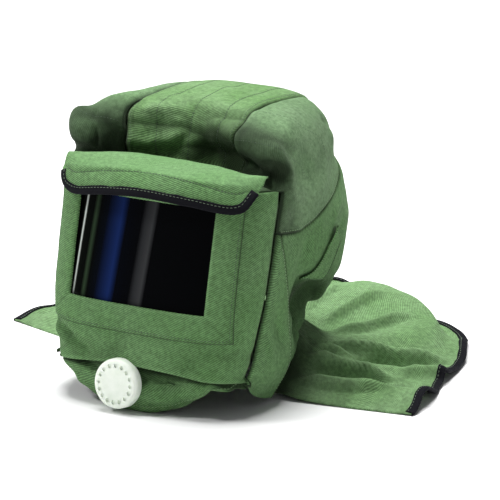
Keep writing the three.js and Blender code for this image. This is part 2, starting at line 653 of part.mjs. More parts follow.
const capeLines = [0, 0.06, 0.13, 0.21, 0.3, 0.4, 0.5, 0.6, 0.7, 0.8, 0.88, 0.955, 1];
addSheet('cape', cape, [CLOTH, 0], capeColumns, capeLines);
const fromTop = (u, v, lift) => cape(u, v, lift + CLOTH);
addBinding('cape_binding', fromTop, CLOTH, capeColumns.map((u) => [[u, 1], [u, 0.955]]));

// Origin: the middle of the bottom of the whole hood's box
const box = new THREE.Box3().setFromObject(hood);
hood.position.set(-(box.min.x + box.max.x) / 2, -(box.min.y + box.max.y) / 2, -box.min.z);
const root = new THREE.Group();
root.add(hood);

export default root;
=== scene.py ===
# A green canvas sandblasting hood on a pale floor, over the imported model.
# Shapes are worked out in millimetres in the hood's own frame, then moved to the model's.
import math
import bmesh
import bpy
import numpy as np
from mathutils import Matrix, Vector


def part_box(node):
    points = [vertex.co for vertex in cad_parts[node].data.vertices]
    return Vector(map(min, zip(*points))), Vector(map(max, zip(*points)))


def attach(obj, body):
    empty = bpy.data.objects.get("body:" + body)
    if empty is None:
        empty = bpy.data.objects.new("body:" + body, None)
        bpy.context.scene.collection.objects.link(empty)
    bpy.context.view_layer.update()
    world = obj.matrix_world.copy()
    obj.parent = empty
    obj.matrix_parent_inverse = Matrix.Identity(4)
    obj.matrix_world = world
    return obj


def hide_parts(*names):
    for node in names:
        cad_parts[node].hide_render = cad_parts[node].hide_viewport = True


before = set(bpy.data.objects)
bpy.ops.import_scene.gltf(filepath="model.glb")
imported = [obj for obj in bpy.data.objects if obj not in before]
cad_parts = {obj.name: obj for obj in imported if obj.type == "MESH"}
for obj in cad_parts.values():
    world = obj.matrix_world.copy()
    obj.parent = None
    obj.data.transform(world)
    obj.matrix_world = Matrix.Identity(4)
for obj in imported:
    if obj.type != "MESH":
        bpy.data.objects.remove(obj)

# Driving dimensions, in millimetres
WIDTH, DEPTH, HEIGHT = 250.0, 300.0, 290.0
CLOTH = 1.5
BAND = 63.0
FACE_TOP, FACE_FOOT, FOOT_RISE = 223.0, 47.0, 13.0
WINDOW_WIDTH, WINDOW_HEIGHT, WINDOW_SILL, WINDOW_SHIFT = 158.0, 102.0, 105.0, -3.0
FRAME_BAND = 27.0
FACE_SIDE = 118.0
VALVE_CENTRE = np.array([-10.0, -17.3, 30.0])
VALVE_DIAMETER, VALVE_DEPTH, VALVE_TILT = 50.0, 11.0, 7.0
VALVE_RING, VALVE_HOLES, VALVE_HOLE, VALVE_HOLE_DEPTH = 18.4, 16, 4.4, 0.0018
CAPE_REACH, CAPE_CENTRE = 300.0, 150.0
TAPE_WIDTH, TAPE_CLOTH = 7.0, 0.8
STITCH_PITCH, STITCH_LENGTH, STITCH_RADIUS = 3.5, 2.5, 0.34
LENS_MARGIN, LENS_SETBACK, LENS_THICKNESS = 9.0, 3.9, 2.0
GRID = 2.0

# The hood's frame in the model's: both hold the valve's seat
seat_low, seat_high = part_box("exhaust_valve_seat")
seat = (seat_low + seat_high) * 500.0
SEAT_DEPTH = 0.78 * VALVE_DEPTH
tilt = math.radians(VALVE_TILT)
ORIGIN = np.array([
    seat.x - VALVE_CENTRE[0],
    seat.y - VALVE_CENTRE[1] - SEAT_DEPTH * math.cos(tilt),
    0.0,
])


def add_object(name, data):
    made = bpy.data.objects.new(name, data)
    bpy.context.scene.collection.objects.link(made)
    return made


# Camera, at the photograph's angle
CAMERA_AZIMUTH, CAMERA_ELEVATION, CAMERA_DISTANCE = math.radians(32), math.radians(15), 5.0
PHOTO_SIZE, PIXELS_PER_MM = 500, 1.0
TARGET = Vector((ORIGIN + np.array([0.0, 140.0, 140.0])) / 1000.0)
TARGET_PIXEL = (208.0, 242.0)
back = Vector((math.sin(CAMERA_AZIMUTH) * math.cos(CAMERA_ELEVATION),
               -math.cos(CAMERA_AZIMUTH) * math.cos(CAMERA_ELEVATION), math.sin(CAMERA_ELEVATION)))
camera_data = bpy.data.cameras.new("camera")
camera = add_object("camera", camera_data)
bpy.context.scene.camera = camera
camera.location = TARGET + back * CAMERA_DISTANCE
camera.rotation_euler = back.to_track_quat("Z", "Y").to_euler()
frame_width = PHOTO_SIZE / PIXELS_PER_MM / 1000.0
camera_data.sensor_width = 36.0
camera_data.lens = camera_data.sensor_width * CAMERA_DISTANCE / frame_width
camera_data.shift_x = (PHOTO_SIZE / 2 - TARGET_PIXEL[0]) / PHOTO_SIZE
camera_data.shift_y = -(PHOTO_SIZE / 2 - TARGET_PIXEL[1]) / PHOTO_SIZE
camera_data.clip_end = 50.0


# Numbers
def smooth(t):
    t = np.clip(t, 0.0, 1.0)
    return t * t * (3.0 - 2.0 * t)


def unit(v):
    return v / np.maximum(np.linalg.norm(v, axis=-1, keepdims=True), 1e-9)


def point(x, y, z):
    return np.stack(np.broadcast_arrays(x, y, z), axis=-1).astype(float)


def hashed(i, j, k, seed):
    n = (i * 73856093) ^ (j * 19349663) ^ (k * 83492791) ^ (seed * 2654435)
    n = ((n ^ (n >> 13)) * 1274126177) & 0x7FFFFFFF
    return ((n ^ (n >> 16)) & 0xFFFF) / 32767.5 - 1.0


def noise(p, size, seed=0):
    """Smooth noise from -1 to 1 at points p, with features about size millimetres across."""
    q = p / size + 31.7
    cell = np.floor(q).astype(np.int64)
    f = smooth(q - cell)
    total = 0.0
    for dx in (0, 1):
        for dy in (0, 1):
            for dz in (0, 1):
                weight = np.ones(p.shape[:-1])
                for axis, d in enumerate((dx, dy, dz)):
                    weight = weight * (f[..., axis] if d else 1.0 - f[..., axis])
                total = total + weight * hashed(cell[..., 0] + dx, cell[..., 1] + dy, cell[..., 2] + dz, seed)
    return total


def ripple(s, size, seed=0):
    """Smooth noise along a line."""
    return noise(point(s, 0.0, 0.0), size, seed)


def bell(x, width):
    """1 at 0, falling away over a width on both sides."""
    return np.exp(-((x / width) ** 2))


def crumple(p, size, seed):
    """Creased cloth from -1 to 1: rounded swells with sharp valleys between them."""
    return 2.0 * np.sqrt(noise(p, size, seed) ** 2 + 0.003) - 1.0


def hollow(p, centre, reach):
    """1 at a spot, falling away over a reach along each axis."""
    return np.exp(-np.sum(((p - np.array(centre)) / np.array(reach)) ** 2, axis=-1))


def run_lengths(points):
    """The length along a line of points, from 0 at its start."""
    return np.concatenate([[0.0], np.cumsum(np.linalg.norm(np.diff(points, axis=0), axis=-1))])


def read_along(spots, lengths, values):
    """Vectors along a line, read at lengths between its points."""
    return np.stack([np.interp(spots, lengths, values[:, a]) for a in range(3)], axis=-1)


# The body form: level sections from the table to the crown. A row holds its height, half width, front,
# middle and back as shares of the hood's size, and the powers of its outline in front and behind
SECTIONS = np.array([
    (0.00, 0.80, -0.004, 0.33, 0.60, 2.1, 2.3),
    (0.06, 0.87, -0.020, 0.33, 0.62, 2.2, 2.3),
    (0.11, 0.93, -0.026, 0.33, 0.64, 2.6, 2.3),
    (0.16, 0.96, -0.010, 0.33, 0.67, 3.3, 2.3),
    (0.22, 0.96, -0.002, 0.33, 0.73, 3.6, 2.4),
    (0.27, 0.95, 0.006, 0.34, 0.85, 3.8, 2.4),
    (0.37, 0.98, 0.022, 0.35, 0.97, 3.8, 2.5),
    (0.55, 1.00, 0.062, 0.38, 1.00, 3.8, 2.6),
    (0.71, 1.00, 0.098, 0.40, 0.95, 3.8, 2.4),
    (0.765, 0.98, 0.112, 0.41, 0.91, 3.8, 2.3),
    (0.79, 0.98, 0.200, 0.43, 0.89, 3.8, 2.3),
    (0.84, 0.97, 0.195, 0.45, 0.87, 3.8, 2.3),
    (0.90, 0.94, 0.190, 0.47, 0.86, 3.8, 2.3),
    (1.00, 0.84, 0.200, 0.50, 0.85, 3.8, 2.2),
])
SECTION_BLUR = {"half": 0.020, "front": 0.006, "middle": 0.020, "back": 0.020,
                "front_power": 0.02, "back_power": 0.02}
CROWN_START, CROWN_POWER = 0.78, 4.6
CENTRE = np.array([0.0, 0.46 * DEPTH, 0.52 * HEIGHT])
SHARES = np.linspace(-0.2, 1.2, 1401)
SHARE_STEP, BLUR_STEPS = 0.001, 60


def blurred(column, blur):
    """A column of the sections on a fine scale, with its corners rounded off."""
    straight = np.interp(SHARES, SECTIONS[:, 0], column)
    kernel = bell(np.arange(-BLUR_STEPS, BLUR_STEPS + 1) * SHARE_STEP, blur)
    padded = np.pad(straight, BLUR_STEPS, mode="edge")
    return np.convolve(padded, kernel / kernel.sum(), mode="valid")


PROFILE = {name: blurred(column, blur) for column, (name, blur) in zip(SECTIONS.T[1:], SECTION_BLUR.items())}


def body_form(p):
    """Below 0 inside the body form and above 0 outside it."""
    share = p[..., 2] / HEIGHT
    row = {column: np.interp(share, SHARES, values) for column, values in PROFILE.items()}
    middle = row["middle"] * DEPTH
    ahead = p[..., 1] < middle
    reach = np.where(ahead, middle - row["front"] * DEPTH, row["back"] * DEPTH - middle)
    power = np.where(ahead, row["front_power"], row["back_power"])
    across = np.abs(p[..., 0]) / (row["half"] * WIDTH / 2)
    plan = across ** power + (np.abs(p[..., 1] - middle) / reach) ** power
    rise = np.maximum(0.0, (share - CROWN_START) / (1 - CROWN_START))
    return plan ** (CROWN_POWER / power) + rise ** CROWN_POWER - 1.0


def way_out(start, ray):
    """How far along a ray from an inside point the body form is left."""
    near = np.zeros(np.broadcast(start[..., 0], ray[..., 0]).shape)
    far = near + WIDTH + DEPTH
    for _ in range(24):
        half = (near + far) / 2
        inside = body_form(start + ray * half[..., None]) < 0
        near = np.where(inside, half, near)
        far = np.where(inside, far, half)
    return near


def segment(p, start, end):
    """Distance from p to a line between two points, and the share of the way along it."""
    start, end = np.array(start, float), np.array(end, float)
    way = end - start
    t = np.clip(((p - start) @ way) / (way @ way), 0.0, 1.0)
    return np.linalg.norm(p - start - t[..., None] * way, axis=-1), t


def in_hood(x, y, z):
    return np.array([x * WIDTH / 2, y * DEPTH, z * HEIGHT])


# Large folds of the form: start and end, width and depth, as shares of the hood's size, outwards above 0
FORM_FOLDS = [
    ((-0.82, 0.20, 0.90), (-0.95, 0.32, 0.86), 0.14, 0.048),
    ((0.97, 0.43, 0.36), (0.70, 0.64, 0.22), 0.08, -0.085),
    ((-0.97, 0.43, 0.36), (-0.70, 0.64, 0.22), 0.08, -0.085),
]
DENT_DEPTH, DENT_HALF, DENT_LENGTH, DENT_END, DENT_FOOT = 42.0, 80.0, 95.0, 155.0, 222.0


def on_body(guide):
    """The point of the folded body on the ray from its centre through a guide point."""
    ray = unit(guide - CENTRE)
    p = CENTRE + ray * way_out(CENTRE, ray)[..., None]
    across = np.exp(-((np.abs(p[..., 0]) / DENT_HALF) ** 3))
    sunk = across * smooth((DENT_END - p[..., 1]) / DENT_LENGTH) * smooth((p[..., 2] - DENT_FOOT) / 10)
    bulge = 0.0
    for start, end, width, depth in FORM_FOLDS:
        away, _ = segment(p, in_hood(*start), in_hood(*end))
        bulge = bulge + depth * WIDTH * bell(away, width * WIDTH)
    return p + ray * bulge[..., None] + point(0.0, DENT_DEPTH * sunk, 0.0)


def on_front(x, z):
    """The point on the front of the body form at a given x and height."""
    start = point(x, 0.35 * DEPTH, z)
    ray = np.array([0.0, -1.0, 0.0])
    return start + ray * way_out(start, ray + 0.0 * start)[..., None]


# Curves through a few points, and ways to turn them round
def curve(*points):
    pts = np.array(points, float)
    last = len(pts) - 1

    def at(t):
        t = np.clip(np.asarray(t, float), 0.0, 1.0) * last
        i = np.minimum(t.astype(int), last - 1)
        w = (t - i)[..., None]
        b, c = pts[i], pts[i + 1]
        a = np.where((i > 0)[..., None], pts[np.maximum(i - 1, 0)], 2 * pts[0] - pts[1])
        d = np.where((i < last - 1)[..., None], pts[np.minimum(i + 2, last)], 2 * pts[-1] - pts[-2])
        ab, bc, cd = (np.sqrt(np.maximum(np.linalg.norm(p - q, axis=-1, keepdims=True), 1e-6))
                      for p, q in ((a, b), (b, c), (c, d)))
        leave = ((b - a) / ab - (c - a) / (ab + bc) + (c - b) / bc) * bc
        arrive = ((c - b) / bc - (d - b) / (bc + cd) + (d - c) / cd) * bc
        return (b + leave * w + (3 * (c - b) - 2 * leave - arrive) * w ** 2
                + (2 * (b - c) + leave + arrive) * w ** 3)
    return at


def mirrored(path):
    return lambda t: path(t) * np.array([-1.0, 1.0, 1.0])


def backwards(path):
    return lambda t: path(1.0 - np.asarray(t, float))


def part(path, start, end):
    return lambda t: path(start + (end - start) * np.asarray(t, float))


def joined(first, second, at):
    def both(t):
        t = np.asarray(t, float)
        return np.where((t < at)[..., None], first(t / at), second((t - at) / (1 - at)))
    return both


def between(a, b):
    a, b = np.array(a, float), np.array(b, float)
    return lambda t: a + (b - a) * np.asarray(t, float)[..., None]


# Seams on the +X side
cheek_seam = curve((110, 36, 34), (118, 53, 97), (124, 71, 180))
temple_seam = curve((124, 71, 180), (125, 81, FACE_TOP))
brow_y = float(on_front(np.array(BAND), np.array(FACE_TOP))[1])
crown_seam = curve((BAND, brow_y, FACE_TOP), (BAND, 60, 231), (BAND, 57, 262), (BAND, 100, 288),
                   (BAND, 190, 290), (BAND, 232, 276), (BAND, 262, 235))
nape_seam = curve((BAND, 262, 235), (BAND - 3, 300, 180), (BAND - 8, 290, 110), (BAND - 16, 225, 66))
yoke_seam = curve((124, 71, 180), (126, 112, 177), (125, 165, 190), (112, 220, 212), (BAND, 262, 235))
GORE_TIP = 0.03
gore_seam = curve(yoke_seam(GORE_TIP), (122, 93, 119), (115, 105, 60), (100, 98, 8))
gore_foot = curve((110, 36, 34), (107, 55, 12), (100, 98, 8))
neck_line = curve((100, 98, 8), (100, 140, 36), (85, 190, 60), (BAND - 16, 225, 66))
chin_hem = curve((-108, 38, 26), (-92, 20, 29), (-55, 8, 7), (0, -1, 0), (55, 8, 7), (92, 20, 29),
                 (108, 38, 26))
side_samples = np.concatenate([cheek_seam(np.linspace(0, 1, 200)), temple_seam(np.linspace(0.005, 1, 100))])


def side_seam(z):
    return point(np.interp(z, side_samples[:, 2], side_samples[:, 0]),
                 np.interp(z, side_samples[:, 2], side_samples[:, 1]), z)


# The face panel's guide: straight columns and rows in front, bent round to the side seams
FACE_FLAT = WINDOW_WIDTH / 2 + FRAME_BAND + abs(WINDOW_SHIFT)
FACE_SHARES = [0.0, 0.18, 0.34, 0.88, 1.0]
FACE_HEIGHTS = [WINDOW_SILL - FRAME_BAND, WINDOW_SILL, WINDOW_SILL + WINDOW_HEIGHT, FACE_TOP]


def face_point(x, v):
    x, v = np.broadcast_arrays(np.asarray(x, float), np.asarray(v, float))
    foot = FACE_FOOT - FOOT_RISE * np.minimum(1.0, np.abs(x) / FACE_FLAT) ** 2
    z = np.where(v < FACE_SHARES[1], foot + (FACE_HEIGHTS[0] - foot) * v / FACE_SHARES[1],
                 np.interp(v, FACE_SHARES[1:], FACE_HEIGHTS))
    sign = np.where(x < 0, -1.0, 1.0)
    flat = on_front(np.clip(x, -FACE_FLAT, FACE_FLAT), z)
    share = np.clip((np.abs(x) - FACE_FLAT) / (FACE_SIDE - FACE_FLAT), 0.0, 1.0)[..., None]
    side = side_seam(z)
    side[..., 0] *= sign
    return flat * (1 - share) + side * share


def along_face(start, end, v):
    return lambda t: face_point(start + (end - start) * np.asarray(t, float), v)


def coons(foot, top, left, right):
    """A guide surface between four border curves that meet at the corners."""
    def at(u, v):
        a, b = u[..., None], v[..., None]
        corners = (foot(0.0) * (1 - a) * (1 - b) + foot(1.0) * a * (1 - b)
                   + top(0.0) * (1 - a) * b + top(1.0) * a * b)
        return foot(u) * (1 - b) + top(u) * b + left(v) * (1 - a) + right(v) * a - corners
    return at


# Cloth panels as grids of points
class Panel:
    """A grid of points with its normals, its distances to the four borders and its weave lengths."""

    def __init__(self, name, surface, columns, rows, centre=CENTRE):
        self.name = name
        u = np.linspace(0, 1, columns) if np.isscalar(columns) else np.array(columns)
        v = np.linspace(0, 1, rows) if np.isscalar(rows) else np.array(rows)
        self.u, self.v = np.meshgrid(u, v)
        self.points = surface(self.u, self.v)
        self.centre = centre
        self.measure()
        flat_u = self.along_u - self.along_u[:, self.along_u.shape[1] // 2][:, None]
        flat_v = self.along_v - self.along_v[self.along_v.shape[0] // 2]
        self.weave = np.stack([flat_u, flat_v], axis=-1)
        # Painted shade below 0 and painted highlight above 0, which the canvas turns into colour
        self.shade = np.zeros(self.u.shape)

    def measure(self):
        du = np.gradient(self.points, axis=1)
        dv = np.gradient(self.points, axis=0)
        normal = unit(np.cross(du, dv))
        out = point(0, 0, 1) if self.centre is None else self.points - self.centre
        self.normals = normal * (1.0 if np.sum(normal * out, axis=-1).sum() > 0 else -1.0)
        step_u = np.linalg.norm(np.diff(self.points, axis=1), axis=-1)
        step_v = np.linalg.norm(np.diff(self.points, axis=0), axis=-1)
        self.along_u = np.pad(np.cumsum(step_u, axis=1), ((0, 0), (1, 0)))
        self.along_v = np.pad(np.cumsum(step_v, axis=0), ((1, 0), (0, 0)))
        self.left, self.right = self.along_u, self.along_u[:, -1:] - self.along_u
        self.foot, self.top = self.along_v, self.along_v[-1:] - self.along_v

    def lift(self, height):
        self.points = self.points + self.normals * np.asarray(height)[..., None]

    def border(self, side):
        """Distance to a border, and the length along it."""
        away = {"left": self.left, "right": self.right, "foot": self.foot, "top": self.top}[side]
        along = self.along_v if side in ("left", "right") else self.along_u
        return away, along

    def sample(self, u, v):
        """Points and normals at a grid position given as shares of the columns and rows."""
        rows, columns = self.u.shape
        x = np.clip(np.interp(u, self.u[0], np.arange(columns)), 0, columns - 1.001)
        y = np.clip(np.interp(v, self.v[:, 0], np.arange(rows)), 0, rows - 1.001)
        i, j = x.astype(int), y.astype(int)
        a, b = (x - i)[..., None], (y - j)[..., None]
        both = []
        for field in (self.points, self.normals):
            low = field[j, i] * (1 - a) + field[j, i + 1] * a
            high = field[j + 1, i] * (1 - a) + field[j + 1, i + 1] * a
            both.append(low * (1 - b) + high * b)
        return both[0], unit(both[1])

    def inset(self, side, away, start=0.0, end=1.0, count=400):
        """A line of grid positions at a distance from a border, between two shares of its length."""
        t = np.linspace(start, end, count)
        distance, _ = self.border(side)
        upright = side in ("left", "right")
        lines = distance if upright else distance.T
        near, far = (self.v[:, 0], self.u[0]) if upright else (self.u[0], self.v[:, 0])
        order = slice(None) if side in ("left", "foot") else slice(None, None, -1)
        across = []
        for spot in np.interp(t, near, np.arange(len(near))):
            k = int(min(spot, len(near) - 2))
            line = lines[k] * (1 - spot + k) + lines[k + 1] * (spot - k)
            across.append(np.interp(away, line[order], far[order]))
        return (np.array(across), t) if upright else (t, np.array(across))


def seam_edge(panel, side, drop=2.6, width=2.4, puckers=0.35, seed=1):
    """The panel's border rolls down into a seam, with small puckers beside it and painted shade in the seam's
    groove.
    """
    away, along = panel.border(side)
    waves = ripple(along, 6.0, seed) * 0.7 + ripple(along, 14.0, seed + 5) * 0.8
    panel.lift(-drop * np.exp(-((away / width) ** 1.6))
               + puckers * waves * np.exp(-away / 9.0) * smooth(away / 3))
    panel.shade = panel.shade - 0.9 * bell(away, 2.4)


def felled(panel, side, wide=7.0, rise=0.7, seed=3):
    """A stitched-down strip along a border: a slight ridge with a painted highlight, and the stitch line
    pulled in with painted shade.
    """
    away, along = panel.border(side)
    waves = ripple(along, 5.0, seed) * 0.25 * bell(away - wide, 4.0)
    ridge = rise * smooth(away / 1.5) * smooth((wide + 0.8 - away) / 1.2)
    groove = -0.45 * bell(away - wide, 1.1)
    panel.lift(ridge + groove + waves)
    panel.shade = panel.shade - 0.35 * bell(away - wide - 0.7, 0.9) + 0.12 * ridge / max(rise, 0.1)


FADE = 0.35


def folds_on(panel, table):
    """Small folds along lines. A row holds the start, the end, the width, the depth, outward above 0, and
    the ends where the fold fades: s, e or both."""
    total = np.zeros(panel.u.shape)
    for start, end, width, depth, fades in table:
        away, t = segment(panel.points, start, end)
        fade = smooth(t / FADE) if "s" in fades else np.ones(t.shape)
        fade = fade * (smooth((1 - t) / FADE) if "e" in fades else 1.0)
        total = total + depth * fade * bell(away, width)
    panel.lift(total)


CREASE_SHADE = 0.13


def creased(panel, stretch, share, rows):
    """Creased swells with painted shade in their valleys. A row holds the size, the height where the share is
    0, what the share adds to it, and the seed."""
    for size, low, more, seed in rows:
        height = low + more * share
        swell = crumple(panel.points * np.array(stretch), size, seed)
        panel.lift(height * swell)
        panel.shade = panel.shade - CREASE_SHADE * height * np.maximum(0.0, -swell) ** 2


# Meshes
def to_model(points):
    return (points + ORIGIN) / 1000.0


def make_object(name, vertices, faces, material, uvs=None, shades=None):
    mesh = bpy.data.meshes.new(name)
    mesh.from_pydata([tuple(p) for p in to_model(vertices)], [], faces)
    mesh.polygons.foreach_set("use_smooth", [True] * len(mesh.polygons))
    corners = np.zeros(len(mesh.loops), np.int32)
    mesh.loops.foreach_get("vertex_index", corners)
    if uvs is not None:
        layer = mesh.uv_layers.new(name="weave")
        layer.data.foreach_set("uv", (uvs[corners] / 1000.0).astype(np.float32).ravel())
    if shades is not None:
        attribute = mesh.attributes.new("shade", "FLOAT", "POINT")
        attribute.data.foreach_set("value", np.asarray(shades, np.float32).ravel())
    mesh.update()
    mesh.materials.append(material)
    made = add_object(name, mesh)
    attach(made, "root")
    return made


def grid_faces(rows, columns, keep=None):
    """Quads of the outer and inner layer, and of every open edge between them."""
    keep = np.ones((rows - 1, columns - 1), bool) if keep is None else keep
    count = rows * columns
    faces = []
    for j, i in zip(*np.nonzero(keep)):
        a = j * columns + i
        b, c, d = a + 1, a + columns + 1, a + columns
        faces.append((a, b, c, d))
        faces.append((a + count, d + count, c + count, b + count))
        if j == 0 or not keep[j - 1, i]:
            faces.append((a, a + count, b + count, b))
        if j == rows - 2 or not keep[j + 1, i]:
            faces.append((c, c + count, d + count, d))
        if i == 0 or not keep[j, i - 1]:
            faces.append((d, d + count, a + count, a))
        if i == columns - 2 or not keep[j, i + 1]:
            faces.append((b, b + count, c + count, c))
    return faces


def cloth_object(panel, material, keep=None, cloth=CLOTH):
    """The panel as a closed cloth of even thickness, with its outward side kept where it is."""
    panel.measure()
    inner = panel.points - panel.normals * cloth
    vertices = np.concatenate([panel.points.reshape(-1, 3), inner.reshape(-1, 3)])
    uvs = np.concatenate([panel.weave.reshape(-1, 2)] * 2)
    shades = np.concatenate([panel.shade.ravel()] * 2)
    faces = grid_faces(*panel.u.shape, keep)
    du, dv = np.gradient(panel.points, axis=1), np.gradient(panel.points, axis=0)
    if np.sum(np.cross(du, dv) * panel.normals) < 0:
        faces = [tuple(reversed(face)) for face in faces]
    return make_object(panel.name, vertices, faces, material, uvs, shades)


def declare(made, panel):
    width = float(np.max(panel.along_u[:, -1])) / 1000.0
    length = float(np.max(panel.along_v[-1])) / 1000.0


def stitch_line(points, normals, pitch=STITCH_PITCH, length=STITCH_LENGTH, radius=STITCH_RADIUS, lift=0.1):
    """Short rounded stitches laid end to end along a line of points: vertices and faces."""
    along = run_lengths(points)
    count = max(1, int(along[-1] / pitch))
    sides, rings = 6, np.array([-0.5, -0.36, 0.0, 0.36, 0.5])
    girth = np.array([0.35, 0.85, 1.0, 0.85, 0.35])
    vertices, faces = [], []
    for k in range(count):
        middle = (k + 0.5) * pitch
        spots = middle + rings * length
        centre = read_along(spots, along, points)
        normal = unit(read_along(spots, along, normals))
        way = unit(np.gradient(centre, axis=0))
        side = unit(np.cross(way, normal))
        sink = 1.0 - 2.2 * (2 * rings) ** 2
        base = len(vertices)
        for r in range(len(rings)):
            for s in range(sides):
                turn = 2 * math.pi * s / sides
                offset = side[r] * math.cos(turn) + normal[r] * math.sin(turn)
                vertices.append(centre[r] + offset * radius * girth[r] + normal[r] * (lift + 0.22 * sink[r]))
        for r in range(len(rings) - 1):
            for s in range(sides):
                a, b = base + r * sides + s, base + r * sides + (s + 1) % sides
                faces.append((a, a + sides, b + sides, b))
        faces.append(tuple(base + s for s in range(sides)))
        faces.append(tuple(base + (len(rings) - 1) * sides + s for s in reversed(range(sides))))
    return vertices, faces


class Thread:
    """All the stitches of one colour, gathered into one piece."""

    def __init__(self):
        self.vertices, self.faces = [], []

    def sew(self, panel, line, **options):
        points, normals = panel.sample(*line)
        self.run(points, normals, **options)

    def run(self, points, normals, **options):
        vertices, faces = stitch_line(points, normals, **options)
        base = len(self.vertices)
        self.vertices.extend(vertices)
        self.faces.extend(tuple(base + i for i in face) for face in faces)

    def make(self, name, material, slot):
        return make_object(name, np.array(self.vertices), self.faces, material)


TAPE_SLACK = 0.25


def tape_ring(half):
    """The outline of a folded tape's section: outward from the edge, and across from its middle."""
    ring = []
    for share in (1.0, 0.93, 0.7, 0.45, 0.2):
        puff = TAPE_CLOTH + (0.15 if share < 0.99 else -0.5) - 0.35 * (share == 0.7)
        ring.append((-share * TAPE_WIDTH, half + puff))
    for k in range(7):
        turn = math.pi / 2 - math.pi * k / 6
        ring.append(((half + TAPE_CLOTH) * math.cos(turn), (half + TAPE_CLOTH) * math.sin(turn)))
    ring += [(-share * TAPE_WIDTH, -half - TAPE_CLOTH) for share in (0.2, 0.45, 0.7, 0.93)]
    ring += [(-TAPE_WIDTH, -half - 0.5), (-TAPE_WIDTH, -half), (-0.5 * TAPE_WIDTH, -half), (0.0, -half * 0.5),
             (0.0, half * 0.5), (-0.5 * TAPE_WIDTH, half), (-TAPE_WIDTH, half)]
    return np.array(ring)


def binding(name, points, outward, normals, material, thickness, seed):
    """A tape folded round a cloth's edge: its points run along the edge, at the cloth's mid-thickness."""
    ring = tape_ring(thickness / 2 + TAPE_SLACK)
    along = run_lengths(points)
    wobble = 0.35 * ripple(along, 9.0, seed)
    swell = 1.0 + 0.10 * ripple(along, 13.0, seed + 1)
    x = ring[:, 0][None, :] * swell[:, None] + wobble[:, None] * (ring[:, 0][None, :] < -3)
    vertices = (points[:, None, :] + outward[:, None, :] * x[..., None]
                + normals[:, None, :] * ring[None, :, 1, None])
    count = len(ring)
    faces = []
    for k in range(len(points) - 1):
        for i in range(count):
            n = (i + 1) % count
            faces.append((k * count + i, k * count + n, (k + 1) * count + n, (k + 1) * count + i))
    faces.append(tuple(reversed(range(count))))
    faces.append(tuple((len(points) - 1) * count + i for i in range(count)))
    uvs = np.stack(np.broadcast_arrays(along[:, None], run_lengths(ring)[None, :]), axis=-1).reshape(-1, 2)
    made = make_object(name, vertices.reshape(-1, 3), faces, material, uvs)
    mesh = made.data
    mesh.update()
    signed = sum(p.area * p.normal.dot(p.center - Vector(to_model(points[0]))) for p in mesh.polygons)
    if signed < 0:
        mesh.flip_normals()
    return made


# Materials
class Nodes:
    """A material's node tree with short ways to add and join nodes."""

    def __init__(self, name):
        self.material = bpy.data.materials.new(name)
        self.material.use_nodes = True
        self.tree = self.material.node_tree
        self.shader = self.tree.nodes["Principled BSDF"]

    def feed(self, socket, value):
        """Link an output to a socket, or set the socket's own value."""
        if isinstance(value, bpy.types.NodeSocket):
            self.tree.links.new(value, socket)
        elif hasattr(value, "__len__") and len(socket.default_value) == 4:
            socket.default_value = (*value, 1.0)
        else:
            socket.default_value = value

    def add(self, kind, settings=None, **inputs):
        made = self.tree.nodes.new(kind)
        for key, value in (settings or {}).items():
            setattr(made, key, value)
        for key, value in inputs.items():
            self.feed(made.inputs[key.replace("_", " ")], value)
        return made

    def set(self, **inputs):
        for key, value in inputs.items():
            self.feed(self.shader.inputs[key.replace("_", " ")], value)
        return self.material

    def math(self, operation, *values):
        made = self.add("ShaderNodeMath", {"operation": operation})
        for socket, value in zip(made.inputs, values):
            self.feed(socket, value)
        return made.outputs[0]

    def ramp(self, value, stops):
        made = self.add("ShaderNodeValToRGB", Fac=value)
        elements = made.color_ramp.elements
        while len(elements) < len(stops):
            elements.new(0.5)
        for element, (at, colour) in zip(elements, stops):
            element.position = at
            element.color = (*colour, 1.0)
        return made.outputs["Color"]

    def blend(self, kind, share, first, second):
        made = self.add("ShaderNodeMix", {"data_type": "RGBA", "blend_type": kind})
        for index, value in ((0, share), (6, first), (7, second)):
            self.feed(made.inputs[index], value)
        return made.outputs[2]

    def weave(self):
        return self.add("ShaderNodeUVMap", {"uv_map": "weave"}).outputs["UV"]

    def place(self):
        return self.add("ShaderNodeNewGeometry").outputs["Position"]

    def turned(self, coords, angle):
        return self.add("ShaderNodeMapping", Vector=coords, Rotation=(0.0, 0.0, angle)).outputs["Vector"]

    def noise(self, coords, scale, detail, **more):
        made = self.add("ShaderNodeTexNoise", Vector=coords, Scale=scale, Detail=detail, **more)
        return made.outputs["Fac"]

    def waves(self, coords, pitch, distortion):
        """A sine across the coordinates' x, with one wave a pitch."""
        made = self.add("ShaderNodeTexWave", {"wave_type": "BANDS", "bands_direction": "X"}, Vector=coords,
                        Scale=2 * math.pi / (20 * pitch), Distortion=distortion, Detail=1.0, Detail_Scale=1.5)
        return made.outputs["Fac"]

    def bump(self, strength, distance, height):
        made = self.add("ShaderNodeBump", Strength=strength, Distance=distance, Height=height)
        return made.outputs["Normal"]


TWILL_PITCH, FINE_PITCH = 0.0020, 0.0013
TWILL_TURN, TWILL_CROSSING = math.radians(58), math.radians(72)


def grey(value):
    return (value,) * 3


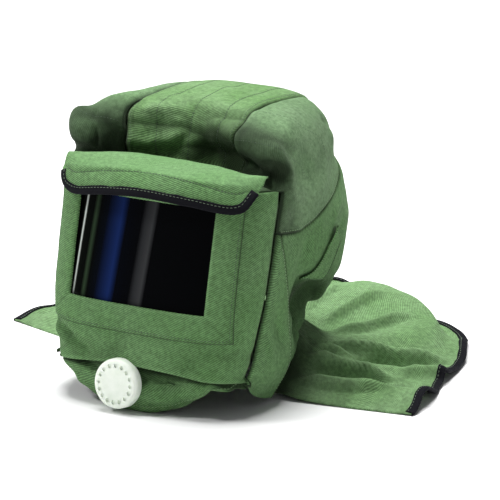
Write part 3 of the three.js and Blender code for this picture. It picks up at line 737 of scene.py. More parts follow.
def canvas(name, colour, dusty, pitch=TWILL_PITCH, depth=1.0):
    """Cotton twill: slanted ribs of thread, fuzz and faded patches, with painted shade where its shade is
    below 0 and a painted highlight where it is above 0.
    """
    nodes = Nodes(name)
    uv, place = nodes.weave(), nodes.place()
    ribs = nodes.waves(nodes.turned(uv, TWILL_TURN), pitch, 0.9)
    threads = nodes.waves(nodes.turned(uv, TWILL_TURN - TWILL_CROSSING), pitch * 0.42, 0.8)
    weave = nodes.math("MULTIPLY_ADD", threads, 0.45, nodes.math("MULTIPLY", ribs, 0.55))
    fuzz = nodes.noise(place, 900.0, 3.0, Roughness=0.7)
    lint = nodes.noise(place, 2400.0, 1.0)
    patches = nodes.noise(place, 16.0, 4.0, Roughness=0.6)
    mottle = nodes.noise(place, 260.0, 2.0)
    pale = [min(1.0, c * 1.28 + 0.012) for c in dusty]
    base = nodes.blend("MIX", nodes.ramp(patches, [(0.36, grey(0)), (0.68, grey(1))]), colour, dusty)
    base = nodes.blend("MULTIPLY", 1.0, base, nodes.ramp(weave, [
        (0.15, grey(0.92 - 0.50 * depth)), (0.50, grey(0.88)), (0.85, grey(0.92 + 0.58 * depth))]))
    tufts = nodes.math("MULTIPLY", nodes.math("GREATER_THAN", fuzz, 0.60), 0.30)
    base = nodes.blend("MIX", tufts, base, pale)
    base = nodes.blend("MULTIPLY", 1.0, base, nodes.ramp(mottle, [(0.30, grey(0.76)), (0.72, grey(1.24))]))
    shade = nodes.add("ShaderNodeAttribute", {"attribute_name": "shade"}).outputs["Fac"]
    # Painted shade: the shade attribute below 0 darkens the colour towards a tenth of it. Painted highlight:
    # above 0 it lightens the colour towards the pale one.
    sunk = nodes.math("MULTIPLY", nodes.math("MINIMUM", shade, 0.0), -0.9)
    painted_highlight = nodes.math("MAXIMUM", shade, 0.0)
    base = nodes.blend("MIX", nodes.math("MINIMUM", sunk, 0.95), base, [c * 0.10 for c in colour])
    base = nodes.blend("MIX", nodes.math("MINIMUM", painted_highlight, 0.8), base, pale)
    height = nodes.math("MULTIPLY_ADD", fuzz, 0.35, nodes.math("MULTIPLY_ADD", lint, 0.2, weave))
    return nodes.set(Base_Color=base, Roughness=0.92, Sheen_Weight=0.10, Sheen_Roughness=0.45,
                     Sheen_Tint=(0.75, 0.95, 0.65), Specular_IOR_Level=0.18,
                     Normal=nodes.bump(1.0, 0.00045, height))


def tape_material():
    """Near-black woven tape with fine cross ribs."""
    nodes = Nodes("tape")
    place = nodes.place()
    ribs = nodes.waves(nodes.weave(), 0.0009, 0.5)
    fuzz = nodes.noise(place, 1100.0, 3.0, Roughness=0.7)
    wear = nodes.noise(place, 90.0, 3.0)
    base = nodes.ramp(nodes.math("MULTIPLY_ADD", ribs, 0.4, nodes.math("MULTIPLY", fuzz, 0.6)),
                      [(0.25, (0.0015, 0.0015, 0.0025)), (0.75, (0.007, 0.007, 0.010))])
    base = nodes.blend("MIX", nodes.math("MULTIPLY", wear, 0.15), base, (0.02, 0.02, 0.024))
    height = nodes.math("MULTIPLY_ADD", fuzz, 0.6, ribs)
    return nodes.set(Base_Color=base, Roughness=0.85, Sheen_Weight=0.02, Sheen_Roughness=0.5,
                     Sheen_Tint=(0.7, 0.75, 0.9), Specular_IOR_Level=0.08,
                     Normal=nodes.bump(0.8, 0.00022, height))


def thread_material(name, colour):
    """Twisted thread, a little lighter and darker along its turns."""
    nodes = Nodes(name)
    twist = nodes.noise(nodes.place(), 1500.0, 2.0)
    base = nodes.ramp(twist, [(0.3, [c * 0.7 for c in colour]), (0.7, [min(1.0, c * 1.2) for c in colour])])
    return nodes.set(Base_Color=base, Roughness=0.7, Sheen_Weight=0.2, Normal=nodes.bump(0.6, 0.0001, twist))


# Bands of painted reflection in the dark lens, standing for a studio it mirrors: shares across it from the
# left, and colours
LENS_BANDS = [
    (0.000, (0.0004, 0.0006, 0.0006)),
    (0.058, (0.0010, 0.0014, 0.0010)),
    (0.066, (0.7000, 0.7600, 0.7000)),
    (0.076, (0.0020, 0.0030, 0.0020)),
    (0.125, (0.0010, 0.0016, 0.0010)),
    (0.145, (0.0240, 0.0420, 0.0220)),
    (0.170, (0.0010, 0.0014, 0.0012)),
    (0.225, (0.0012, 0.0022, 0.0050)),
    (0.270, (0.0040, 0.0100, 0.0440)),
    (0.320, (0.0070, 0.0190, 0.0900)),
    (0.360, (0.0010, 0.0015, 0.0035)),
    (0.455, (0.0008, 0.0010, 0.0016)),
    (0.485, (0.0220, 0.0230, 0.0250)),
    (0.530, (0.0380, 0.0390, 0.0410)),
    (0.555, (0.0010, 0.0012, 0.0016)),
    (1.000, (0.0004, 0.0005, 0.0008)),
]
LENS_LEAN = 0.07


def lens_material():
    """A dark polished sheet with painted bands of reflection, faint scuffs and dust."""
    nodes = Nodes("lens")
    place = nodes.place()
    split = nodes.add("ShaderNodeSeparateXYZ", Vector=nodes.weave())
    width = (WINDOW_WIDTH + 2 * LENS_MARGIN) / 1000.0
    rise = nodes.math("MULTIPLY", split.outputs["Y"], LENS_LEAN)
    from_middle = nodes.math("SUBTRACT", split.outputs["X"], rise)
    bands = nodes.ramp(nodes.math("ADD", nodes.math("DIVIDE", from_middle, width), 0.5), LENS_BANDS)
    upright = nodes.add("ShaderNodeMapping", Vector=place, Scale=(60.0, 60.0, 9.0)).outputs["Vector"]
    scuffs = nodes.noise(upright, 6.0, 6.0, Roughness=0.7)
    speck = nodes.math("MULTIPLY", nodes.math("GREATER_THAN", nodes.noise(place, 500.0, 2.0), 0.76), 0.10)
    base = nodes.blend("MIX", speck, bands, (0.03, 0.035, 0.035))
    rough = nodes.math("MULTIPLY_ADD", scuffs, 0.06, 0.03)
    return nodes.set(Base_Color=base, Roughness=rough, Specular_IOR_Level=0.12)


def plastic_material():
    """Satin white moulded plastic, slightly green, with a fine grain."""
    nodes = Nodes("valve_plastic")
    place = nodes.place()
    base = nodes.ramp(nodes.noise(place, 70.0, 3.0), [(0.3, (0.76, 0.84, 0.72)), (0.6, (0.86, 0.92, 0.82))])
    return nodes.set(Base_Color=base, Roughness=0.42, Specular_IOR_Level=0.45, Subsurface_Weight=0.15,
                     Subsurface_Radius=(0.004, 0.004, 0.003), Subsurface_Scale=1.0,
                     Normal=nodes.bump(0.25, 0.0001, nodes.noise(place, 700.0, 3.0)))


face_canvas = canvas("canvas_face", (0.105, 0.225, 0.078), (0.130, 0.250, 0.102))
crown_canvas = canvas("canvas_crown", (0.110, 0.225, 0.074), (0.165, 0.280, 0.128), depth=0.75)
# The upper sides' canvas is a lighter copy: painted light on the upper sides, which catch more light
upper_canvas = canvas("canvas_upper", (0.145, 0.262, 0.118), (0.190, 0.305, 0.160),
                      pitch=FINE_PITCH, depth=0.45)
cape_canvas = canvas("canvas_cape", (0.150, 0.280, 0.112), (0.195, 0.325, 0.155), depth=0.8)
tape_finish = tape_material()
dark_thread = thread_material("thread_dark", (0.030, 0.065, 0.028))
pale_thread = thread_material("thread_pale", (0.20, 0.34, 0.15))
tape_thread = thread_material("thread_on_tape", (0.10, 0.15, 0.09))
lens_finish = lens_material()
valve_finish = plastic_material()

dark, pale, tape_stitches = Thread(), Thread(), Thread()


def cells(panel, u_range, v_range):
    """The cells of a panel outside a window given as shares."""
    u = (panel.u[:-1, :-1] + panel.u[1:, 1:]) / 2
    v = (panel.v[:-1, :-1] + panel.v[1:, 1:]) / 2
    inside = (u > u_range[0]) & (u < u_range[1]) & (v > v_range[0]) & (v < v_range[1])
    return ~inside


def steps_of(lengths, step=GRID):
    return max(4, int(round(lengths / step)))


# Crown band: one panel from the brow over the top to the nape
CROWN_STITCHES = (0.22, 0.5, 0.78)
crown_line = joined(crown_seam, nape_seam, 0.64)
NAPE_HALF, NAPE_Y, NAPE_Z = BAND - 16, 225.0, 66.0
crown_guide = coons(
    along_face(-BAND, BAND, 1.0),
    between((-NAPE_HALF, NAPE_Y, NAPE_Z), (NAPE_HALF, NAPE_Y, NAPE_Z)),
    mirrored(crown_line),
    crown_line,
)
crown = Panel("crown_cloth", lambda u, v: on_body(crown_guide(u, v)), 66, 330)
crown_points = crown.points.copy()
crown_front = smooth((150 - crown_points[..., 1]) / 50)
crown.lift(1.2 * noise(crown_points, 36, 3) + 0.5 * noise(crown_points, 16, 4))
creased(crown, (0.8, 1.0, 1.3), crown_front, [(44, 0.8, 3.8, 5), (19, 0.3, 1.3, 6)])
folds_on(crown, [
    ((-52, 92, 255), (-8, 96, 262), 7, -4.0, "se"),
    ((-56, 92, 270), (-14, 112, 287), 10, 4.0, "se"),
    ((-40, 88, 248), (4, 98, 264), 7, 4.5, "se"),
    ((-16, 100, 240), (10, 100, 272), 5, -3.5, "se"),
    ((6, 92, 240), (40, 88, 262), 9, 2.5, "se"),
    ((8, 96, 268), (64, 82, 272), 16, 9.0, "s"),
    ((6, 104, 240), (64, 88, 242), 14, -13.0, "s"),
    ((-62, 84, 236), (0, 104, 236), 9, -7.0, "e"),
    ((-60, 84, 248), (-30, 92, 246), 6, 4.0, "e"),
    ((-34, 130, 290), (-20, 170, 291), 7, -2.0, "se"),
    ((-20, 180, 290), (34, 150, 290), 14, 2.6, "se"),
    ((10, 230, 280), (44, 258, 250), 10, -3.2, "se"),
])
# Stitch lines pulled into the crown, with painted shade in their grooves
for share in CROWN_STITCHES:
    away = np.abs(crown.u - share) * (2 * BAND)
    puckers = 0.3 * ripple(crown.along_v, 7, int(share * 50)) * np.exp(-away / 7)
    crown.lift(puckers - 0.55 * bell(away, 1.3))
    crown.shade = crown.shade - 0.18 * bell(away, 0.9)
for side, seed in (("left", 21), ("right", 22)):
    felled(crown, side, wide=6.5, rise=0.6, seed=seed)
    seam_edge(crown, side, drop=4.2, width=2.8, seed=seed)
# Painted shade under the brow's overhang and in the recess at its right
brow_away, _ = segment(crown.points, (-62, 92, 236), (64, 92, 240))
crown.shade = (crown.shade - 0.5 * bell(brow_away, 14)
               - 1.2 * hollow(crown.points, (38, 96, 246), (38, 34, 20)))
crown_object = cloth_object(crown, crown_canvas)
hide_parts("crown_band")
for share in CROWN_STITCHES:
    dark.sew(crown, (np.full(700, share), np.linspace(0.01, 0.97, 700)))
for side in ("left", "right"):
    dark.sew(crown, crown.inset(side, 6.5, 0.02, 0.98, 700))

# Face panel with the window cut out of it
WINDOW_U = (0.24, 0.76)
WINDOW_V = (FACE_SHARES[2], FACE_SHARES[3])
FACE_X_SHARES = [0.0, 0.12, 0.24, 0.76, 0.88, 1.0]
FRAME_HALF = WINDOW_WIDTH / 2 + FRAME_BAND
FRAME_MIDDLE, FRAME_REACH = 156.0, 78.0
FACE_X = [-FACE_SIDE, WINDOW_SHIFT - FRAME_HALF, WINDOW_SHIFT - WINDOW_WIDTH / 2,
          WINDOW_SHIFT + WINDOW_WIDTH / 2, WINDOW_SHIFT + FRAME_HALF, FACE_SIDE]


def face_surface(u, v):
    return on_body(face_point(np.interp(u, FACE_X_SHARES, FACE_X), v))


def shares_through(stops, lengths, step=GRID):
    """Shares that run through the stops, with about a step in millimetres between them."""
    made = [stops[0]]
    for a, b, length in zip(stops[:-1], stops[1:], lengths):
        made.extend(np.linspace(a, b, steps_of(length, step) + 1)[1:])
    return np.array(made)


face_u = shares_through(FACE_X_SHARES, np.diff(FACE_X))
face_v = shares_through(FACE_SHARES, [36, 27, 102, 16])
face = Panel("face_cloth", face_surface, face_u, face_v)
face_points = face.points.copy()
from_frame = np.maximum(np.abs(face_points[..., 0] - WINDOW_SHIFT) - FRAME_HALF,
                        np.abs(face_points[..., 2] - FRAME_MIDDLE) - FRAME_REACH)
near_window = bell(np.maximum(0, from_frame), 12)
face_low = smooth((86 - face_points[..., 2]) / 30)
face.lift((0.9 * noise(face_points, 40, 7) + 0.4 * noise(face_points, 16, 8)) * (1 - 0.75 * near_window))
creased(face, (0.6, 1.0, 1.4), face_low, [(34, 0.2, 2.4, 9)])
folds_on(face, [
    ((-112, 30, 84), (-84, 8, 64), 5, -4.5, "s"),
    ((-84, 8, 64), (-46, 1, 52), 4.5, -4.5, "e"),
    ((-110, 28, 70), (-72, 4, 52), 6, 4.0, "se"),
    ((-100, 22, 92), (-94, 18, 62), 7, 2.2, "se"),
    ((-20, -2, 60), (60, 2, 56), 10, 1.6, "se"),
    ((60, 3, 66), (100, 20, 58), 8, 2.0, "se"),
    ((104, 26, 200), (106, 24, 110), 5, -2.2, "se"),
    ((112, 36, 190), (110, 32, 90), 4, 1.6, "se"),
])
for side, seed in (("left", 31), ("right", 32)):
    seam_edge(face, side, drop=4.6, width=3.0, puckers=0.7, seed=seed)
foot_away, foot_along = face.border("foot")
face.lift(-1.0 * bell(foot_away, 1.2) + 2.6 * bell(foot_away, 9)
          + 0.8 * ripple(foot_along, 16, 33) * np.exp(-foot_away / 9))
# Painted highlight on the rolled foot edge of the face
face.shade = face.shade + 0.28 * bell(foot_away - 2.2, 1.4)
face_object = cloth_object(face, face_canvas, cells(face, WINDOW_U, WINDOW_V))
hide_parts("face_panel")

# Stitched band round the window
FRAME_CLOTH, FRAME_LIFT = 1.3, 0.25
FRAME_U = (FACE_X_SHARES[1], FACE_X_SHARES[4])
FRAME_V = (FACE_SHARES[1], FACE_SHARES[3] + 0.07)
window_u = (FACE_X_SHARES[2], FACE_X_SHARES[3])
frame_u = shares_through([FRAME_U[0], *window_u, FRAME_U[1]], [FRAME_BAND, WINDOW_WIDTH, FRAME_BAND], 1.4)
frame_v = shares_through([FRAME_V[0], FACE_SHARES[2], FACE_SHARES[3], FRAME_V[1]],
                         [FRAME_BAND, WINDOW_HEIGHT, 10], 1.4)


def on_face(u, v):
    points, normals = face.sample(u, v)
    return points + normals * (FRAME_LIFT + FRAME_CLOTH)


band = Panel("window_band", on_face, frame_u, frame_v)
band_x = np.interp(band.u, FACE_X_SHARES, FACE_X) - WINDOW_SHIFT
band_z = np.interp(band.v, FACE_SHARES[1:], FACE_HEIGHTS)
beside = np.abs(band_x) - WINDOW_WIDTH / 2
below = np.maximum(WINDOW_SILL - band_z, band_z - WINDOW_SILL - WINDOW_HEIGHT)
from_window = np.maximum(beside, below)
outside = np.minimum(FRAME_BAND - beside, FRAME_BAND - (WINDOW_SILL - band_z))
band.lift(0.45 * smooth(from_window / 3) * smooth(outside / 3)
          - 1.9 * bell(np.maximum(from_window, 0), 1.5)
          - 0.9 * bell(outside, 1.0)
          - 0.4 * bell(outside - 3.2, 0.9)
          + 0.22 * noise(band.points, 9, 41) * smooth(from_window / 2))
mitre = np.abs(beside - below) / math.sqrt(2)
mitre_on = (beside > 0) & (below > 0)
band.lift(np.where(mitre_on, -0.6 * bell(mitre, 0.9), 0.0))
# Painted highlight on the turned window edge, painted shade along the outer edge and in the mitre crease
band.shade = (0.30 * bell(from_window - 1.6, 1.2) - 1.0 * bell(outside, 1.2)
              - np.where(mitre_on, 0.35 * bell(mitre, 0.8), 0.0))
band_object = cloth_object(band, face_canvas, cells(band, window_u, WINDOW_V), cloth=FRAME_CLOTH)
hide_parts("window_frame")
EDGE_IN = 3.2
inner_x = FRAME_HALF - EDGE_IN
inner_u = np.interp([WINDOW_SHIFT - inner_x, WINDOW_SHIFT + inner_x], FACE_X, FACE_X_SHARES)
foot_v = FRAME_V[0] + EDGE_IN / FRAME_BAND * (FACE_SHARES[2] - FRAME_V[0])
dark.sew(band, (np.full(300, inner_u[0]), np.linspace(FRAME_V[1], foot_v, 300)), lift=0.0)
dark.sew(band, (np.linspace(inner_u[0], inner_u[1], 400), np.full(400, foot_v)), lift=0.0)
dark.sew(band, (np.full(300, inner_u[1]), np.linspace(foot_v, FRAME_V[1], 300)), lift=0.0)

# Lens behind the window
def lens_surface(u, v):
    x = WINDOW_SHIFT + (2 * u - 1) * (WINDOW_WIDTH / 2 + LENS_MARGIN)
    z = WINDOW_SILL - LENS_MARGIN + v * (WINDOW_HEIGHT + 2 * LENS_MARGIN)
    return on_front(x, z)


lens = Panel("lens_sheet", lens_surface, 60, 30)
lens.lift(np.full(lens.u.shape, -LENS_SETBACK))
lens_object = cloth_object(lens, lens_finish, cloth=LENS_THICKNESS)
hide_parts("lens")

# Sides: the upper side, the lower side, the cheek gore and the ear vent's flap
UPPER_FOLDS = [
    ((92, 164, 286), (122, 120, 215), 12, -4.5, "se"),
    ((96, 150, 283), (110, 96, 262), 10, 3.0, "se"),
    ((120, 190, 232), (124, 120, 192), 12, 3.0, "se"),
    ((118, 176, 250), (124, 150, 214), 8, -2.6, "se"),
    ((106, 190, 276), (92, 222, 256), 6, -5.0, "se"),
    ((112, 196, 258), (104, 226, 236), 7, 3.5, "se"),
]
# Folds at the brow's corners, which differ on the two sides
BROW_FOLDS = {
    "left": [
        ((70, 84, 240), (118, 80, 234), 9, -17.0, ""),
        ((66, 88, 270), (112, 88, 262), 12, 8.0, ""),
        ((112, 88, 262), (122, 96, 238), 7, 6.0, ""),
        ((100, 84, 254), (116, 84, 244), 5, -4.0, "s"),
        ((122, 100, 246), (125, 92, 200), 10, 4.0, "e"),
        ((116, 116, 276), (118, 100, 252), 4, -3.0, "se"),
    ],
    "right": [
        ((-122, 72, 238), (-80, 66, 232), 8, -9.0, ""),
        ((-98, 86, 282), (-86, 68, 236), 3, -5.0, "s"),
        ((-116, 84, 262), (-112, 70, 246), 15, 9.0, ""),
        ((-76, 72, 262), (-70, 80, 286), 8, 5.0, "se"),
        ((-114, 92, 276), (-104, 74, 250), 6, 4.0, "se"),
    ],
}
NECK_TUCK = 16.0
LOWER_FOLDS = [
    ((111, 221, 176), (122, 190, 120), 8, -4.0, "se"),
    ((116, 214, 190), (124, 176, 170), 7, 3.0, "se"),
    ((124, 130, 170), (122, 106, 120), 9, -2.6, "se"),
    ((126, 176, 106), (98, 126, 62), 16, -24.0, "s"),
    ((122, 158, 128), (112, 116, 90), 7, 5.0, "se"),
    ((116, 166, 100), (98, 130, 58), 6, -9.0, "s"),
    ((112, 156, 78), (101, 118, 44), 4.5, 6.0, "s"),
    ((106, 172, 76), (98, 136, 40), 4, -5.0, "s"),
    ((108, 192, 104), (94, 160, 60), 6, 4.0, "s"),
    ((104, 206, 104), (88, 182, 62), 6, -5.0, "s"),
]
GORE_FOLDS = [
    ((118, 70, 110), (112, 94, 50), 8, -5.0, "se"),
    ((118, 56, 84), (108, 84, 24), 6, 3.0, "se"),
    ((112, 44, 50), (106, 66, 12), 4, -3.0, "se"),
]
VENT_FOLDS = [((122, 150, 142), (122, 176, 150), 5, -1.2, "se")]
VENT_CORNERS = [(122, 131, 118), (122, 167, 110), (122, 188, 164), (122, 205, 143)]


def turned(table, side):
    """A table of folds for one side of the hood."""
    return [((side * start[0], *start[1:]), (side * end[0], *end[1:]), *rest) for start, end, *rest in table]


def on_side(side, path):
    return path if side > 0 else mirrored(path)


def side_panel(piece, name, side, columns, rows, *guides):
    """A panel of one side between the guides of its foot, top, left and right."""
    guide = coons(*(on_side(side, path) for path in guides))
    return Panel(f"{piece}_cloth_{name}", lambda u, v: on_body(guide(u, v)), columns, rows)


def upper_side(name, side, seed):
    front = joined(temple_seam, along_face(FACE_SIDE, BAND, 1.0), 0.42)
    upper = side_panel("side_upper", name, side, 120, 80,
                       yoke_seam, part(crown_seam, 0, 0.84), front, part(crown_seam, 1, 0.84))
    ahead = smooth((150 - upper.points[..., 1]) / 60)
    upper.lift(1.2 * noise(upper.points, 40, seed) + 0.5 * noise(upper.points, 16, seed + 1))
    creased(upper, (1.0, 1.0, 0.7), ahead, [(50, 1.3, 2.6, seed + 20), (20, 0.4, 0.9, seed + 21)])
    folds_on(upper, turned(UPPER_FOLDS, side) + BROW_FOLDS[name])
    for edge in ("left", "top"):
        seam_edge(upper, edge, drop=3.6, width=2.8, puckers=0.6, seed=seed + 2)
    seam_edge(upper, "foot", drop=0.9, width=1.2, puckers=0.3, seed=seed + 3)
    # Painted shade under the brow, in the notch at its corner, and over the front part that faces away from
    # the light
    brow_away, _ = segment(upper.points, (side * 64, 84, 238), (side * 114, 82, 236))
    upper.shade = (upper.shade - 0.5 * bell(brow_away, 12)
                   - 0.9 * hollow(upper.points, (side * 100, 82, 240), (30, 14, 12))
                   - 0.55 * smooth((118 - upper.points[..., 1]) / 30))
    made = cloth_object(upper, upper_canvas)
    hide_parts(f"side_upper_{name}")
    pale.sew(upper, upper.inset("foot", 2.6, 0.03, 0.99, 600))
    for share in (0.42, 0.62):
        dark.sew(upper, (np.full(300, share), np.linspace(0.30, 0.97, 300)), radius=0.24, lift=-0.05)
    return made, upper


def lower_side(name, side, seed):
    lower = side_panel("side_lower", name, side, 120, 100,
                       neck_line, part(yoke_seam, GORE_TIP, 1), backwards(gore_seam), backwards(nape_seam))
    low = smooth((128 - lower.points[..., 2]) / 44)
    lower.lift(1.2 * noise(lower.points, 36, seed + 4) + 0.5 * noise(lower.points, 15, seed + 5))
    creased(lower, (1.0, 1.2, 0.7), low, [(42, 0.3, 3.6, seed + 22), (18, 0.2, 1.2, seed + 23)])
    folds_on(lower, turned(LOWER_FOLDS, side))
    seam_edge(lower, "top", drop=1.6, width=1.6, puckers=0.4, seed=seed + 6)
    seam_edge(lower, "left", drop=1.2, width=1.4, puckers=0.5, seed=seed + 7)
    seam_edge(lower, "right", drop=2.4, width=2.2, puckers=0.4, seed=seed + 8)
    gathers = 3.2 * ripple(lower.along_u, 10, seed + 9) + 1.4 * ripple(lower.along_u, 5, seed + 10)
    lower.lift(gathers * np.exp(-lower.foot / 20))
    behind_gore = smooth((lower.points[..., 1] - 98) / 24)
    lower.lift(-NECK_TUCK * bell(lower.foot, 24) * behind_gore)
    # Painted shade in the hollow under the hood at the neck, behind the gore
    lower.shade = (lower.shade - 0.5 * bell(lower.foot, 26) * behind_gore
                   - 1.3 * hollow(lower.points, (side * 112, 152, 94), (36, 42, 26)))
    made = cloth_object(lower, face_canvas)
    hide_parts(f"side_lower_{name}")
    return made, lower


def cheek_gore(name, side, seed):
    gore = side_panel("cheek_gore", name, side, 40, 90,
                      gore_foot, part(yoke_seam, 0, GORE_TIP), cheek_seam, backwards(gore_seam))
    gore.lift(0.7 * noise(gore.points, 30, seed + 11) * smooth(gore.left / 6))
    folds_on(gore, turned(GORE_FOLDS, side))
    seam_edge(gore, "left", drop=2.4, width=2.2, puckers=0.4, seed=seed + 12)
    seam_edge(gore, "right", drop=0.7, width=1.2, puckers=0.3, seed=seed + 13)
    made = cloth_object(gore, face_canvas)
    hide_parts(f"cheek_gore_{name}")
    pale.sew(gore, gore.inset("right", 2.4, 0.02, 0.93, 500))
    return made, gore


def ear_vent(name, side, seed):
    corners = np.array([(side * x, y, z) for x, y, z in VENT_CORNERS], float)

    def surface(u, v):
        a, b = u[..., None], v[..., None]
        low = corners[0] * (1 - a) + corners[1] * a
        high = corners[2] * (1 - a) + corners[3] * a
        return on_body(low * (1 - b) + high * b)

    vent = Panel(f"ear_vent_cloth_{name}", surface, 34, 66)
    vent.lift(FRAME_CLOTH + 0.9 + 1.6 * np.exp(-vent.left / 7) + 0.4 * noise(vent.points, 12, seed + 14)
              - 0.5 * bell(vent.right - 4, 1.0) - 0.5 * bell(vent.foot - 4, 1.0))
    for edge in ("right", "foot", "top"):
        seam_edge(vent, edge, drop=1.3, width=0.9, puckers=0.15, seed=seed + 15)
    folds_on(vent, turned(VENT_FOLDS, side))
    made = cloth_object(vent, face_canvas, cloth=FRAME_CLOTH)
    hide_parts(f"ear_vent_flap_{name}")
    dark.sew(vent, vent.inset("right", 3.6, 0.05, 0.97, 300))
    dark.sew(vent, vent.inset("foot", 3.6, 0.0, 0.92, 200))
    return made, vent


side_pieces = [piece(name, side, seed) for name, side, seed in (("left", 1, 50), ("right", -1, 70))
               for piece in (upper_side, lower_side, cheek_gore, ear_vent)]

# Chin panel, its top behind the foot of the face and its hem turned under
CHIN_TUCK, CHIN_OVERLAP = 10.0, 8.0


def chin_end(t, power):
    return 1 - np.abs(2 * t - 1) ** power


def chin_top(t):
    t = np.asarray(t, float)
    rise = CHIN_OVERLAP * chin_end(t, 3) - 0.5 * CHIN_OVERLAP * (1 - chin_end(t, 3))
    return along_face(-FACE_SIDE, FACE_SIDE, 0.0)(t) + point(0.0, 0.0, rise)


chin_guide = coons(chin_hem, chin_top, between(chin_hem(0.0), chin_top(0.0)),
                   between(chin_hem(1.0), chin_top(1.0)))
chin = Panel("chin_cloth", lambda u, v: on_body(chin_guide(u, v)), 130, 42)
chin_points = chin.points.copy()
near_valve = np.exp(-((np.linalg.norm(chin_points - VALVE_CENTRE, axis=-1) / 34) ** 4))
creased(chin, (0.6, 1.0, 1.4), 1 - near_valve, [(30, 0.0, 3.2, 91)])
chin.lift(1.0 * noise(chin_points, 14, 92) * (1 - near_valve)
          - CHIN_TUCK * chin_end(chin.u, 8) * smooth((chin.v - 0.48) / 0.32))
folds_on(chin, [
    ((16, -8, 42), (84, 12, 40), 5, 6.0, "se"),
    ((20, -8, 33), (72, 8, 27), 5, -6.0, "se"),
    ((-36, -2, 42), (-92, 20, 34), 6, 5.0, "se"),
    ((-36, -2, 32), (-76, 12, 24), 5, -5.0, "se"),
    ((-44, 0, 18), (-78, 14, 22), 5, 3.0, "se"),
    ((16, -6, 20), (52, 4, 16), 6, 3.5, "se"),
    ((80, 12, 34), (102, 30, 30), 4.5, 5.0, "se"),
    ((76, 10, 26), (94, 22, 26), 3.5, -4.0, "se"),
])
hem_away, hem_along = chin.border("foot")
chin.lift(-1.8 * bell(hem_away, 1.6) + 0.5 * smooth(hem_away / 2) * smooth((8.5 - hem_away) / 1.2)
          - 0.4 * bell(hem_away - 8, 1.0) + 0.3 * ripple(hem_along, 8, 93) * np.exp(-hem_away / 8))
# Painted shadow under the overhanging foot of the face
chin.shade = chin.shade - 0.9 * bell(np.maximum(0.0, chin.top - CHIN_OVERLAP - 2), 5)
chin_object = cloth_object(chin, face_canvas)
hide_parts("chin_panel")
pale.sew(chin, chin.inset("foot", 8.0, 0.06, 0.94, 600))

# Exhaust valve: the cap turned round its axis with its holes cut, and the seat ring behind it
CAP_PROFILE = [(0.0, 0.03), (0.30, 0.025), (0.60, 0.01), (0.80, 0.0), (0.86, 0.01), (0.91, 0.05),
               (0.955, 0.13), (0.985, 0.24), (1.0, 0.40), (1.0, 0.98), (0.985, 1.0), (0.93, 1.0),
               (0.92, 0.98), (0.92, 0.50), (0.90, 0.34), (0.80, 0.24), (0.0, 0.24)]
SEAT_PROFILE = [(0.40, 0.66), (0.88, 0.66), (0.89, 0.68), (0.89, 0.9), (0.40, 0.9)]
VALVE_SEGMENTS, VALVE_BEVEL, VALVE_SHARP = 112, 0.00028, math.radians(38)
valve_place = Matrix.Translation(Vector(to_model(VALVE_CENTRE))) @ Matrix.Rotation(-tilt, 4, "X")


def lathe(name, profile, closed):
    """A profile of radius and depth, as shares of the valve, turned round the Y axis, with depth along +Y."""
    vertices, faces = [], []
    for s in range(VALVE_SEGMENTS):
        turn = 2 * math.pi * s / VALVE_SEGMENTS
        for radius, depth in profile:
            reach = radius * VALVE_DIAMETER / 2000
            vertices.append((reach * math.cos(turn), depth * VALVE_DEPTH / 1000, reach * math.sin(turn)))
    count = len(profile)
    for s in range(VALVE_SEGMENTS):
        n = (s + 1) % VALVE_SEGMENTS
        for k in range(count if closed else count - 1):
            m = (k + 1) % count
            faces.append((s * count + k, n * count + k, n * count + m, s * count + m))
    mesh = bpy.data.meshes.new(name)
    mesh.from_pydata(vertices, [], faces)
    return add_object(name, mesh)


def tidy_mesh(made):
    """Merge the points on the axis and turn all the faces outwards."""
    work = bmesh.new()
    work.from_mesh(made.data)
    bmesh.ops.remove_doubles(work, verts=work.verts, dist=1e-6)
    bmesh.ops.recalc_face_normals(work, faces=work.faces)
    work.to_mesh(made.data)
    work.free()


HOLE_SIDES, HOLE_START = 24, -0.003


def drill_mesh():
    """A short cylinder in the place of each of the cap's holes."""
    vertices, faces = [], []
    for k in range(VALVE_HOLES):
        turn = 2 * math.pi * k / VALVE_HOLES
        x, z = VALVE_RING / 1000 * math.cos(turn), VALVE_RING / 1000 * math.sin(turn)
        front = len(vertices)
        rear = front + HOLE_SIDES
        for depth in (HOLE_START, VALVE_HOLE_DEPTH):
            for s in range(HOLE_SIDES):
                spin = 2 * math.pi * s / HOLE_SIDES
                vertices.append((x + VALVE_HOLE / 2000 * math.cos(spin), depth,
                                 z + VALVE_HOLE / 2000 * math.sin(spin)))
        for s in range(HOLE_SIDES):
            n = (s + 1) % HOLE_SIDES
            faces.append((front + s, front + n, rear + n, rear + s))
        faces.append(tuple(front + s for s in reversed(range(HOLE_SIDES))))
        faces.append(tuple(rear + s for s in range(HOLE_SIDES)))
    mesh = bpy.data.meshes.new("drills")
    mesh.from_pydata(vertices, [], faces)
    return mesh


def drill(cap):
    """Cut the ring of holes into the cap."""
    drills = add_object("drills", drill_mesh())
    tidy_mesh(drills)
    cut = cap.modifiers.new("holes", "BOOLEAN")
    cut.operation, cut.solver, cut.object = "DIFFERENCE", "EXACT", drills
    bpy.context.view_layer.update()
    cut_mesh = bpy.data.meshes.new_from_object(cap.evaluated_get(bpy.context.evaluated_depsgraph_get()))
    cap.modifiers.clear()
    cap.data = cut_mesh
    bpy.data.objects.remove(drills)


